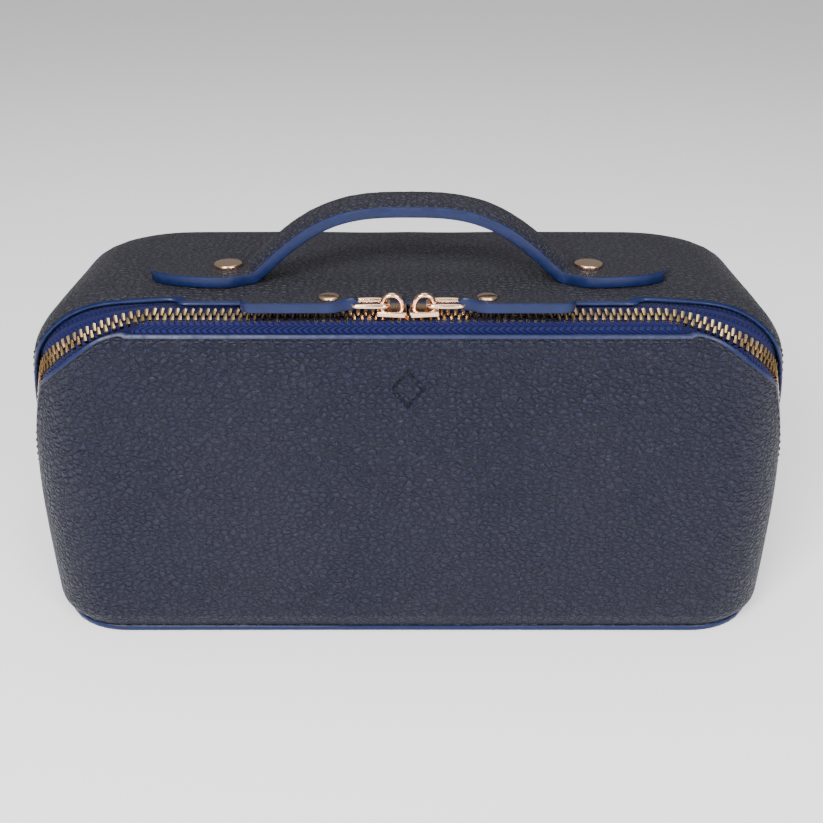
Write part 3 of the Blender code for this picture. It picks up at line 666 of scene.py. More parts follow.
class Effects:
    """Builds each shared effect once, as a node group."""

    def __init__(self) -> None:
        """Build all the groups."""
        self.groups = {
            Effect.PEBBLE: self.pebble(),
            Effect.WEAVE: self.weave(),
            Effect.NAP: self.nap(),
            Effect.HANDLING: self.handling(),
        }

    def pebble(self) -> bpy.types.NodeTree:
        """Leather grain: uneven pebbles with creases between them."""
        inputs = [("Vector", "Vector", None), ("Pebble", "Float", 0.002), ("Unevenness", "Float", 0.5)]
        group, w, given, out = new_group(Effect.PEBBLE.value, inputs, ["Height", "Crease"])
        scale = w.math("DIVIDE", 1.0, given["Pebble"])
        stretched = w.add("Mapping", {"Vector": given["Vector"], "Scale": (0.85, 1.0, 1.2)}).outputs[0]
        place = w.add("VectorMath", {"Vector": stretched, "Scale": scale}, operation="SCALE")
        drift = w.add("TexNoise", {"Vector": place.outputs[0], "Scale": 0.9, "Detail": 1.0})
        pull = {"Vector": drift.outputs["Color"], "Scale": 0.75}
        pulled = w.add("VectorMath", pull, operation="SCALE")
        both = {0: place.outputs[0], 1: pulled.outputs[0]}
        warped = w.add("VectorMath", both, operation="ADD").outputs[0]
        heights, seams = [], []
        for scale_up, width in ((1.0, 0.34), (2.1, 0.3)):
            values = {"Vector": warped, "Scale": scale_up, "Randomness": 0.9}
            cells = w.add("TexVoronoi", values, feature="DISTANCE_TO_EDGE")
            seams.append(cells.outputs["Distance"])
            heights.append(w.ramp(seams[-1], 0.0, width))
        large = w.add("TexNoise", {"Vector": place.outputs[0], "Scale": 0.07, "Detail": 2.0})
        patchy = w.ramp(large.outputs["Fac"], 0.35, 0.65)
        share = w.math("MULTIPLY", patchy, given["Unevenness"])
        coarse = w.math("MULTIPLY", heights[0], w.math("SUBTRACT", 1.0, w.math("MULTIPLY", share, 0.5)))
        fine = w.math("MULTIPLY", heights[1], w.math("ADD", 0.1, w.math("MULTIPLY", share, 0.3)))
        pores = w.add("TexNoise", {"Vector": place.outputs[0], "Scale": 6.0, "Detail": 3.0})
        speckle = w.math("MULTIPLY", pores.outputs["Fac"], 0.15)
        total = w.math("ADD", w.math("ADD", coarse, fine), speckle)
        self.join(w, total, out["Height"])
        crease = w.math("SUBTRACT", 1.0, w.ramp(seams[0], 0.0, 0.13))
        self.join(w, crease, out["Crease"])
        return group

    def weave(self) -> bpy.types.NodeTree:
        """Zip tape: ribs that meet in chevrons along the tape's middle."""
        inputs = [("UV", "Vector", None), ("Middle", "Float", 0.004), ("Pitch", "Float", 0.0025)]
        group, w, given, out = new_group(Effect.WEAVE.value, inputs, ["Height", "Thread"])
        parts = w.add("SeparateXYZ", {"Vector": given["UV"]})
        away = w.math("PINGPONG", w.math("SUBTRACT", parts.outputs["Y"], given["Middle"]), 0.00135)
        slanted = w.math("ADD", parts.outputs["X"], w.math("MULTIPLY", away, 1.3))
        phase = w.math("DIVIDE", slanted, given["Pitch"])
        rib = w.math("ABSOLUTE", w.math("SINE", w.math("MULTIPLY", phase, math.pi)))
        spine = w.ramp(away, 0.0, 0.0004)
        crown = w.math("ADD", 0.4, w.math("MULTIPLY", spine, 0.6))
        height = w.math("MULTIPLY", w.math("POWER", rib, 0.7), crown)
        self.join(w, height, out["Height"])
        twist = w.math("SINE", w.math("MULTIPLY", w.math("ADD", parts.outputs["Y"], slanted), 9000.0))
        thread = w.math("MULTIPLY", w.math("ADD", 1.0, twist), w.math("MULTIPLY", height, 0.5))
        self.join(w, thread, out["Thread"])
        return group

    def nap(self) -> bpy.types.NodeTree:
        """Microsuede: a short brushed pile with soft marks in it."""
        inputs = [("Vector", "Vector", None), ("Fibre", "Float", 0.0004)]
        group, w, given, out = new_group(Effect.NAP.value, inputs, ["Height", "Brushed"])
        scale = w.math("DIVIDE", 1.0, given["Fibre"])
        place = w.add("VectorMath", {"Vector": given["Vector"], "Scale": scale}, operation="SCALE")
        fibres = w.add("TexNoise", {"Vector": place.outputs[0], "Scale": 1.0, "Detail": 3.0})
        self.join(w, fibres.outputs["Fac"], out["Height"])
        values = {"Vector": given["Vector"], "Scale": 55.0, "Detail": 2.0, "Distortion": 0.8}
        marks = w.add("TexNoise", values)
        self.join(w, w.ramp(marks.outputs["Fac"], 0.35, 0.65), out["Brushed"])
        return group

    def handling(self) -> bpy.types.NodeTree:
        """Fine scratches and smudges, for metal and painted edges."""
        inputs = [("Vector", "Vector", None), ("Scale", "Float", 900.0)]
        group, w, given, out = new_group(Effect.HANDLING.value, inputs, ["Scratches", "Smudges"])
        stretch = w.add("Mapping", {"Vector": given["Vector"], "Scale": (1.0, 0.15, 0.6)})
        fine = w.add("TexNoise", {"Vector": stretch.outputs[0], "Scale": given["Scale"], "Detail": 4.0})
        self.join(w, w.ramp(fine.outputs["Fac"], 0.45, 0.7), out["Scratches"])
        broad = w.add("TexNoise", {"Vector": given["Vector"], "Scale": 160.0, "Detail": 2.0})
        self.join(w, w.ramp(broad.outputs["Fac"], 0.35, 0.7), out["Smudges"])
        return group

    @staticmethod
    def join(w: Wiring, source: bpy.types.NodeSocket, target: bpy.types.NodeSocket) -> None:
        """Link two sockets of one tree."""
        w.tree.links.new(source, target)

    def use(self, w: Wiring, effect: Effect, values: dict) -> bpy.types.NodeOutputs:
        """Place an effect in a material with its own values."""
        node = w.add("Group", node_tree=self.groups[effect])
        for name, value in values.items():
            w.feed(node.inputs[name], value)
        return node.outputs


def start_material(name: str) -> tuple[bpy.types.Material, Wiring, bpy.types.Node]:
    """An empty material with its wiring and its Principled shader."""
    material = bpy.data.materials.new(name)
    material.use_nodes = True
    return material, Wiring(material.node_tree), material.node_tree.nodes["Principled BSDF"]


def rgba(colour: Colour, factor: float = 1.0) -> tuple[float, float, float, float]:
    """A colour with full alpha, lightened or darkened by a factor."""
    return (colour[0] * factor, colour[1] * factor, colour[2] * factor, 1.0)


@dataclass(frozen=True)
class LeatherFinish:
    """Dyed, pebbled leather. Faces that look up carry a painted sheen, a greyer colour than the walls, and the grain's
    creases carry painted shade.
    """

    name: str
    colour: Colour
    # The greyer colour of the painted sheen on faces that look up; it also tints random cloudy patches.
    painted_sheen_and_tone: Colour
    pebble: float = 2.1 * MM
    depth: float = 0.85 * MM
    roughness: float = 0.5
    unevenness: float = 0.6

    def make(self, effects: Effects) -> bpy.types.Material:
        """Build the material."""
        material, w, shader = start_material(self.name)
        place = w.add("TexCoord").outputs["Object"]
        values = {"Vector": place, "Pebble": self.pebble, "Unevenness": self.unevenness}
        grain = effects.use(w, Effect.PEBBLE, values)
        facing = w.add("SeparateXYZ", {"Vector": w.add("TexCoord").outputs["Normal"]})
        # Painted sheen: faces that look up are blended towards the greyer colour, as if lit from above.
        painted_sheen_mask = w.ramp(facing.outputs["Z"], 0.3, 0.9)
        sheen_painted_colour = w.blend(painted_sheen_mask, rgba(self.colour), rgba(self.painted_sheen_and_tone))
        # Painted shade: the grain's creases take a darker copy of the colour.
        shadow = w.blend(painted_sheen_mask, rgba(self.colour, 0.3), rgba(self.painted_sheen_and_tone, 0.3))
        tone = w.add("TexNoise", {"Vector": place, "Scale": 28.0, "Detail": 2.0})
        cloudy = w.ramp(tone.outputs["Fac"], 0.3, 0.7)
        # Random cloudy patches, tinted towards the same greyer colour.
        lit = w.blend(w.math("MULTIPLY", cloudy, 0.2), sheen_painted_colour, rgba(self.painted_sheen_and_tone, 0.9))
        creased = w.math("MULTIPLY", grain["Crease"], 0.85)
        rough = w.math("ADD", self.roughness - 0.06, w.math("MULTIPLY", grain["Crease"], 0.2))
        values = {"Base Color": w.blend(creased, lit, shadow), "Roughness": rough}
        values |= {"Specular IOR Level": 0.2, "Sheen Weight": 0.02}
        w.finish(shader, grain["Height"], self.depth, values)
        return material


@dataclass(frozen=True)
class PaintFinish:
    """Edge paint: several smooth coats over cut leather, rubbed in places."""

    name: str
    colour: Colour
    roughness: float = 0.38

    def make(self, effects: Effects) -> bpy.types.Material:
        """Build the material."""
        material, w, shader = start_material(self.name)
        place = w.add("TexCoord").outputs["Object"]
        marks = effects.use(w, Effect.HANDLING, {"Vector": place, "Scale": 500.0})
        rubbed = w.math("MULTIPLY", marks["Smudges"], 0.5)
        shaded = w.blend(rubbed, rgba(self.colour), rgba(self.colour, 0.62))
        rough = w.math("ADD", self.roughness, w.math("MULTIPLY", marks["Scratches"], 0.14))
        values = {"Base Color": shaded, "Roughness": rough, "Specular IOR Level": 0.3}
        w.finish(shader, marks["Smudges"], 0.08 * MM, values)
        return material


@dataclass(frozen=True)
class TapeFinish:
    """Woven zip tape or elastic, with ribs in chevrons, painted shade in the grooves and painted highlights on the rib
    crowns.
    """

    name: str
    colour: Colour
    middle: float
    pitch: float = 2.5 * MM

    def make(self, effects: Effects) -> bpy.types.Material:
        """Build the material."""
        material, w, shader = start_material(self.name)
        laid = w.add("TexCoord").outputs["UV"]
        weave = effects.use(w, Effect.WEAVE, {"UV": laid, "Middle": self.middle, "Pitch": self.pitch})
        # Painted shade and painted highlight: the grooves between ribs take a darker copy of the colour and the rib
        # crowns a lighter one.
        lit = w.blend(weave["Height"], rgba(self.colour, 0.22), rgba(self.colour, 1.35))
        # A painted highlight along the thread twist, strongest on the rib crowns.
        threaded = w.blend(w.math("MULTIPLY", weave["Thread"], 0.3), lit, rgba(self.colour, 2.0))
        values = {"Base Color": threaded, "Roughness": 0.62}
        values |= {"Specular IOR Level": 0.15, "Sheen Weight": 0.04}
        w.finish(shader, weave["Height"], 0.3 * MM, values)
        return material


@dataclass(frozen=True)
class MetalFinish:
    """Plated metal with faint scratches and smudges."""

    name: str
    colour: Colour
    roughness: float

    def make(self, effects: Effects) -> bpy.types.Material:
        """Build the material."""
        material, w, shader = start_material(self.name)
        place = w.add("TexCoord").outputs["Object"]
        marks = effects.use(w, Effect.HANDLING, {"Vector": place, "Scale": 1400.0})
        dull = w.math("MULTIPLY", marks["Smudges"], 0.35)
        plated = w.blend(dull, rgba(self.colour), rgba(self.colour, 0.8))
        rough = w.math("ADD", self.roughness, w.math("MULTIPLY", marks["Smudges"], 0.1))
        rougher = w.math("ADD", rough, w.math("MULTIPLY", marks["Scratches"], 0.06))
        values = {"Base Color": plated, "Roughness": rougher, "Metallic": 1.0}
        w.finish(shader, marks["Scratches"], 0.01 * MM, values)
        return material


@dataclass(frozen=True)
class ClothFinish:
    """Microsuede, felt board or thread: a fine nap over one dye."""

    name: str
    colour: Colour
    fibre: float = 0.4 * MM
    roughness: float = 0.9
    sheen: float = 0.5

    def make(self, effects: Effects) -> bpy.types.Material:
        """Build the material."""
        material, w, shader = start_material(self.name)
        place = w.add("TexCoord").outputs["Object"]
        nap = effects.use(w, Effect.NAP, {"Vector": place, "Fibre": self.fibre})
        brushed = w.blend(nap["Brushed"], rgba(self.colour, 0.9), rgba(self.colour, 1.12))
        lit = w.blend(w.math("MULTIPLY", nap["Height"], 0.5), brushed, rgba(self.colour, 0.55))
        values = {"Base Color": lit, "Roughness": self.roughness, "Sheen Weight": self.sheen}
        w.finish(shader, nap["Height"], 0.12 * MM, values)
        return material


class Palette:
    """Every material of the object, made once."""

    def __init__(self) -> None:
        """Build the shared effects and all the materials."""
        effects = Effects()
        # The second colour of each leather is a painted sheen for faces that look up; it also tints random cloudy
        # patches.
        navy, painted_sheen_and_tone = (0.0075, 0.0085, 0.024), (0.021, 0.020, 0.031)
        self.leather = LeatherFinish("case leather", navy, painted_sheen_and_tone).make(effects)
        strap = LeatherFinish(
            "strap leather", navy, (0.019, 0.018, 0.028), pebble=1.7 * MM, depth=0.65 * MM
        )
        self.strap = strap.make(effects)
        self.paint = PaintFinish("edge paint", (0.003, 0.009, 0.05)).make(effects)
        tape = TapeFinish("zip tape", (0.0015, 0.003, 0.042), middle=4.9 * MM, pitch=2.1 * MM)
        self.tape = tape.make(effects)
        elastic = TapeFinish("elastic", (0.03, 0.035, 0.07), middle=1.0 * MM, pitch=1.2 * MM)
        self.elastic = elastic.make(effects)
        self.teeth = MetalFinish("gold teeth", (0.84, 0.60, 0.31), 0.18).make(effects)
        self.rose = MetalFinish("rose metal", (0.90, 0.60, 0.40), 0.15).make(effects)
        self.suede = ClothFinish("suede lining", (0.022, 0.026, 0.058), sheen=0.15).make(effects)
        self.board = ClothFinish("grey board", (0.22, 0.22, 0.24), sheen=0.1).make(effects)
        thread = ClothFinish(
            "sewing thread", (0.002, 0.002, 0.006), fibre=0.2 * MM, roughness=0.6, sheen=0.0
        )
        self.thread = thread.make(effects)


# ---------------------------------------------------------------- leather shells


@dataclass(frozen=True)
class Layer:
    """A layer of the skin: its depths, and its edge beside the parting line."""

    depths: Pair
    at_zip: float
    at_fold: float
    flare: float = 0.0

    @property
    def thickness(self) -> float:
        """The layer's thickness."""
        return self.depths[1] - self.depths[0]


@dataclass(frozen=True)
class ShellMaker:
    """Builds wall layers of the case and of the lid."""

    line: PartingLine = PartingLine()
    edge_steps: int = 5
    paint_lap: float = 0.9 * MM
    unevenness: float = 0.28 * MM
    sway: float = 34.0
    mark_centre: Pair = (0.0, 95.0 * MM)
    mark_half: Pair = (6.0 * MM, 7.2 * MM)
    mark_depth: float = 0.85 * MM
    lid_run_shift: float = 12.0 * MM
    top_crown: float = 0.9 * MM
    ring_shares: tuple[float, ...] = (0.04, 0.1, 0.18, 0.28, 0.4, 0.52, 0.64, 0.76, 0.88)

    def turns(self, fine: bool) -> list[float]:
        """Column places round the half outline, closest at the front's middle."""
        step = 1 if fine else 2
        centre = spaced(0.0, 8.0 * MM, 16 // step)[:-1] if fine else [0.0]
        first = 8.0 * MM if fine else 0.0
        front = [run / self.line.front_straight for run in centre]
        straight = self.line.front_straight
        front += [run / straight for run in spaced(first, straight, 32 // step)]
        sweep = spaced(1.0, 2.0, 24 // step)[1:]
        side = spaced(2.0, 3.0, 36 // step)[1:]
        back = spaced(3.0, 4.0, 36 // step)[1:]
        found = front + sweep + side + back
        return found if fine else found[1:]

    def sink(self, place: Vector) -> float:
        """How far the skin dips at a place: soft unevenness, and the pressed lozenge in front."""
        dip = self.unevenness * noise.noise(place * self.sway)
        if place.y < 0 and abs(place.x) < 0.01 and abs(place.z - self.mark_centre[1]) < 0.01:
            across = abs(place.x - self.mark_centre[0]) / self.mark_half[0]
            up = abs(place.z - self.mark_centre[1]) / self.mark_half[1]
            ring = 1 - abs(across + up - 0.86) / 0.14
            dip += self.mark_depth * smooth(ring * 1.6)
        return dip

    def lay(self, run: float, rise: float, depth: float, loose: float) -> Vector:
        """A point of the skin with the leather's own dips added."""
        place = self.line.body.point(run, rise, depth)
        if loose == 0.0:
            return place
        return self.line.body.point(run, rise, depth + loose * self.sink(place))

    def reach(self, turn: float, layer: Layer, sign: float) -> float:
        """A layer's edge distance from the parting line; the corners open or close it."""
        share = self.line.corner_flare(turn) if sign > 0 else -self.line.corner_pinch(turn)
        return self.line.edge(turn, layer.at_zip, layer.at_fold) + layer.flare * share

    def edge_arc(self, turn: float, layer: Layer, sign: float) -> list[Vector]:
        """The rounded cut edge, from the outer face to the inner one."""
        half = layer.thickness / 2
        reach = self.reach(turn, layer, sign)
        points = []
        for angle in spaced(0.0, math.pi, self.edge_steps):
            run, rise = self.line.beside(turn, sign * (reach + half * (1 - math.sin(angle))))
            depth = layer.depths[0] + half * (1 - math.cos(angle))
            points.append(self.line.body.point(run, rise, depth))
        return points

    def case_column(
        self, turn: float, layer: Layer, rises: Sequence[float], loose: float
    ) -> list[Vector]:
        """A column of a case layer, up the outside, over the edge and down the inside."""
        foot_run = self.line.at(turn)[0]
        reach = self.reach(turn, layer, -1.0) + layer.thickness / 2
        lap = self.line.beside(turn, -(reach + self.paint_lap))
        shares = [(rise - rises[0]) / (rises[-1] - rises[0]) for rise in rises]
        outside = []
        for share in shares:
            run = mix(foot_run, lap[0], smooth(share))
            rise = mix(rises[0], lap[1], share)
            ease = loose * smooth((1 - share) * 12)
            outside.append(self.lay(run, rise, layer.depths[0], ease))
        inside = []
        for share in spaced(1.0, 0.0, 10):
            run = mix(foot_run, lap[0], smooth(share))
            inside.append(self.lay(run, mix(rises[0], lap[1], share), layer.depths[1], 0.0))
        return outside + self.edge_arc(turn, layer, -1.0) + inside

    def lid_column(self, turn: float, layer: Layer, rows: int, loose: float) -> list[Vector]:
        """A column of a lid layer, from the inner top, round the edge, to the outer top."""
        reach = self.reach(turn, layer, 1.0) + layer.thickness / 2
        lap = self.line.beside(turn, reach + self.paint_lap)
        shift = self.line.edge(turn, self.lid_run_shift, layer.at_fold)
        rim_run = self.line.beside(turn, shift + 6.4 * MM * self.line.corner_flare(turn))[0]
        rim_rise = self.line.body.rim_rise(rim_run)

        def wall(share: float, depth: float, ease: float) -> Vector:
            run = mix(lap[0], rim_run, smooth(share * 2.5))
            return self.lay(run, mix(lap[1], rim_rise, share), depth, ease)

        outside = [
            wall(share, layer.depths[0], loose * smooth(share * 8))
            for share in spaced(0.0, 1.0, rows)
        ]
        inside = [wall(share, layer.depths[1], 0.0) for share in spaced(1.0, 0.0, 10)]
        column = self.top_points(inside[0], 0.0)[::-1] + inside
        edge = self.edge_arc(turn, layer, 1.0)[::-1]
        return column + edge + outside + self.top_points(outside[-1], loose)

    def top_points(self, rim: Vector, loose: float) -> list[Vector]:
        """Points from the rim in towards the middle of the flat top."""
        points = []
        for share in self.ring_shares:
            place = Vector((rim.x * (1 - share), rim.y * (1 - share), rim.z))
            lift = self.top_crown * (1 - (1 - share) ** 2)
            place.z += lift * (1.0 if loose else 0.0)
            place.z -= loose * self.sink(place)
            points.append(place)
        return points

    @staticmethod
    def ringed(half: Sequence[Sequence[Vector]]) -> list[Sequence[Vector]]:
        """Complete the right-hand columns with their mirror image."""
        mirrored = [[Vector((-p.x, p.y, p.z)) for p in column] for column in half[1:-1]]
        return list(half) + mirrored[::-1]

    def case_shell(
        self, name: str, layer: Layer, rises: Sequence[float], loose: float
    ) -> bpy.types.Object:
        """A closed ring-shaped wall layer of the case; its edge and lap have index 1."""
        fine = loose > 0
        columns = [self.case_column(turn, layer, rises, loose) for turn in self.turns(fine)]
        first, last = len(rises) - 1, len(rises) + self.edge_steps

        def dress(_: int, row: int) -> int:
            return 1 if first <= row < last else 0

        return wrap(name, self.ringed(columns), ring=True, tube=True, dress=dress)

    def lid_shell(self, name: str, layer: Layer, rows: int, loose: float) -> bpy.types.Object:
        """A closed cover layer of the lid; its edge and lap have index 1."""
        fine = loose > 0
        columns = [self.lid_column(turn, layer, rows, loose) for turn in self.turns(fine)]
        start = len(self.ring_shares) + 11
        end = start + self.edge_steps + 1

        def dress(_: int, row: int) -> int:
            return 1 if start <= row < end else 0

        return wrap(name, self.ringed(columns), ring=True, dress=dress)

    def strip(
        self,
        name: str,
        offsets: Pair,
        depths: Pair,
        path: Sequence[tuple[float, float]],
        rows: int = 6,
        crown: float = 0.0,
        closing: bool = False,
        flare: float = 0.0,
    ) -> bpy.types.Object:
        """A band that follows the parting line, closed all round.

        Args:
            name: the piece's name.
            offsets: distances of its two edges from the line.
            depths: of its outer and inner face.
            path: turn values with their side.
            rows: points across the band, less one.
            crown: how much the outer face swells along its middle.
            closing: whether its edges close up along the back fold, as the leather's do.
            flare: extra reach of the upper edge at the front corners.

        Returns:
            The band.
        """
        grid = []
        for turn, side in path:
            low, high = offsets[0], offsets[1] + flare * self.line.corner_flare(turn)
            if closing:
                low = -self.line.edge(turn, -low, 3.0 * MM)
                high = self.line.edge(turn, high, 3.0 * MM)
            column = []
            for share in spaced(0.0, 1.0, rows):
                swell = crown * math.sqrt(max(0.0, 1 - (2 * share - 1) ** 2))
                column.append(self.line.spot(turn, side, mix(low, high, share), depths[0] - swell))
            for share in spaced(1.0, 0.0, rows):
                column.append(self.line.spot(turn, side, mix(low, high, share), depths[1]))
            grid.append(column)
        length = sum((b[0] - a[0]).length for a, b in zip(grid, grid[1:]))
        around = 2 * abs(offsets[1] - offsets[0])
        return wrap(name, grid, tube=True, uv_size=(length, around))


# ---------------------------------------------------------------- sub-assemblies


@dataclass
class CaseBody:
    """The box: leather walls, base panel, lining and the pad on the floor."""

    palette: Palette
    shells: ShellMaker
    leather: Layer = Layer((0.0, 1.4 * MM), 7.4 * MM, 1.8 * MM, 3.0 * MM)
    board: Layer = Layer((2.2 * MM, 4.4 * MM), 10.4 * MM, 3.2 * MM)
    lining: Layer = Layer((5.1 * MM, 5.9 * MM), 7.6 * MM, 2.2 * MM)
    foot: float = 2.3 * MM
    lining_foot: float = 4.6 * MM
    mark_rows: Pair = (86.0 * MM, 104.0 * MM)
    edge_rise: float = 112.2 * MM
    base_thickness: float = 2.0 * MM
    base_lip: float = 0.65 * MM
    paint_bulge: float = 0.5 * MM

    def wall_rises(self) -> list[float]:
        """Row heights of the leather, closest over the pressed lozenge."""
        low, high = self.mark_rows
        foot = [self.foot, 3.0 * MM, 4.0 * MM, 5.5 * MM, 7.5 * MM]
        wall = spaced(10 * MM, low, 19) + spaced(low, high, 32)[1:]
        return foot + wall + spaced(high, self.edge_rise, 4)[1:]

    def outline(self, height: float, depth: float) -> list[Vector]:
        """The body's plan outline at a height, `depth` inside the skin."""
        line = self.shells.line
        half = [line.body.point(line.at(turn)[0], height, depth) for turn in self.shells.turns(False)]
        return half + [Vector((-p.x, p.y, p.z)) for p in half[1:-1]][::-1]

    def build_leather(self) -> None:
        """The wall leather with its painted edge and the pressed lozenge."""
        wall = self.shells.case_shell("case_wall_leather", self.leather, self.wall_rises(), 1.0)
        looks = [self.palette.leather, self.palette.paint]
        finished(wall, "case", looks, ["case_leather"])
        rises = spaced(self.lining_foot, self.edge_rise, 14)
        lining = self.shells.case_shell("case_wall_lining", self.lining, rises, 0.0)
        finished(lining, "case", [self.palette.suede, self.palette.suede], ["case_lining"])
        board_rises = spaced(3.0 * MM, 108 * MM, 12)
        core = self.shells.case_shell("case_wall_board", self.board, board_rises, 0.0)
        finished(core, "case", [self.palette.board, self.palette.board], ["case_stiffener"])

    def build_base(self) -> None:
        """The base panel, whose painted edge shows all round the foot."""
        outline = self.outline(self.foot, -self.base_lip)
        centre = Vector((0.0, 0.0, 0.0))
        grid = []
        half = self.base_thickness / 2
        for point in outline:
            flat = Vector((point.x, point.y, 0.0))
            inward = (centre - flat).normalized()
            column = [flat * 0.35, flat * 0.8, flat + inward * 2.0 * MM]
            for angle in spaced(-math.pi / 2, math.pi / 2, 6):
                bulge = self.paint_bulge * math.cos(angle)
                lift = Vector((0, 0, half + half * math.sin(angle)))
                column.append(flat - inward * (bulge - self.paint_bulge) + lift)
            rim = Vector((0, 0, self.base_thickness))
            column += [flat + inward * 2.0 * MM + rim, flat * 0.8 + rim, flat * 0.35 + rim]
            grid.append(column)
        panel = wrap("base_cover", grid, ring=True, dress=lambda _, row: 1 if 2 <= row < 9 else 0)
        looks = [self.palette.leather, self.palette.paint]
        finished(panel, "case", looks, ["base_panel"])

    def build_pad(self) -> None:
        """The lining pad on the floor of the case, soft at its edges."""
        low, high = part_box("base_lining_pad")
        thickness = high.z - low.z
        outline = self.outline(low.z, 6.3 * MM)
        grid = []
        for point in outline:
            flat = Vector((point.x, point.y, low.z))
            middle = Vector((0.0, 0.0, low.z))
            column = []
            for share, lift in ((0.4, 0.0), (0.9, 0.0), (0.985, 0.1), (1.0, 0.5), (0.985, 0.85), (0.95, 1.0), (0.4, 1.0)):
                place = middle + (flat - middle) * share
                column.append(place + Vector((0, 0, thickness * lift)))
            grid.append(column)
        pad = wrap("floor_pad", grid, ring=True)
        finished(pad, "case", [self.palette.suede], ["base_lining_pad"])

    def build(self) -> None:
        """Build the whole box."""
        self.build_leather()
        self.build_base()
        self.build_pad()
        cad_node("base_board", self.palette.board)


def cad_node(node: str, material: bpy.types.Material) -> None:
    """Give a CAD node that stays a finished material."""
    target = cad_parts[node]
    target.data.materials.clear()
    target.data.materials.append(material)


@dataclass
class Lid:
    """The lid: leather cover, lining, and the slip pocket under its top."""

    palette: Palette
    shells: ShellMaker
    leather: Layer = Layer((0.0, 1.4 * MM), 3.7 * MM, 1.8 * MM, 9.6 * MM)
    board: Layer = Layer((2.2 * MM, 4.4 * MM), 10.4 * MM, 3.2 * MM, 5.8 * MM)
    lining: Layer = Layer((5.1 * MM, 5.9 * MM), 7.6 * MM, 2.2 * MM)

    def build_pocket(self) -> None:
        """A soft pocket panel with a gathered elastic along its mouth."""
        low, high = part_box("lid_pocket")
        grid = []
        for x in spaced(low.x, high.x, 60):
            column = []
            for share in spaced(0.0, 1.0, 14):
                y = mix(low.y, high.y, share)
                sag = 0.9 * MM * math.sin(math.pi * share) + 0.25 * MM * math.sin(x * 700) * (1 - share)
                column.append(Vector((x, y, low.z - sag * 0.5)))
            for share in spaced(1.0, 0.0, 14):
                column.append(Vector((x, mix(low.y, high.y, share), high.z)))
            grid.append(column)
        pocket = wrap("lid_slip_pocket", grid, tube=True)
        finished(pocket, "lid", [self.palette.suede], ["lid_pocket"])
        low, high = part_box("pocket_elastic")
        centre = (low + high) / 2
        half_y, half_z = (high.y - low.y) / 2, (high.z - low.z) / 2
        grid = []
        for x in spaced(low.x, high.x, 160):
            ruffle = 1.0 + 0.12 * math.sin(x * 2600)
            angles = [2 * math.pi * k / 14 for k in range(14)]
            grid.append(
                [Vector((x, centre.y + half_y * math.cos(a), centre.z + half_z * ruffle * math.sin(a))) for a in angles]
            )
        elastic = wrap("pocket_mouth_elastic", grid, tube=True, uv_size=(high.x - low.x, 6.0 * MM))
        finished(elastic, "lid", [self.palette.elastic], ["pocket_elastic"])

    def build(self) -> None:
        """Build the lid."""
        cover = self.shells.lid_shell("lid_cover_leather", self.leather, 34, 1.0)
        looks = [self.palette.leather, self.palette.paint]
        finished(cover, "lid", looks, ["lid_leather"])
        lining = self.shells.lid_shell("lid_inner_lining", self.lining, 16, 0.0)
        finished(lining, "lid", [self.palette.suede, self.palette.suede], ["lid_lining"])
        core = self.shells.lid_shell("lid_inner_board", self.board, 12, 0.0)
        finished(core, "lid", [self.palette.board, self.palette.board], ["lid_stiffener"])
        self.build_pocket()


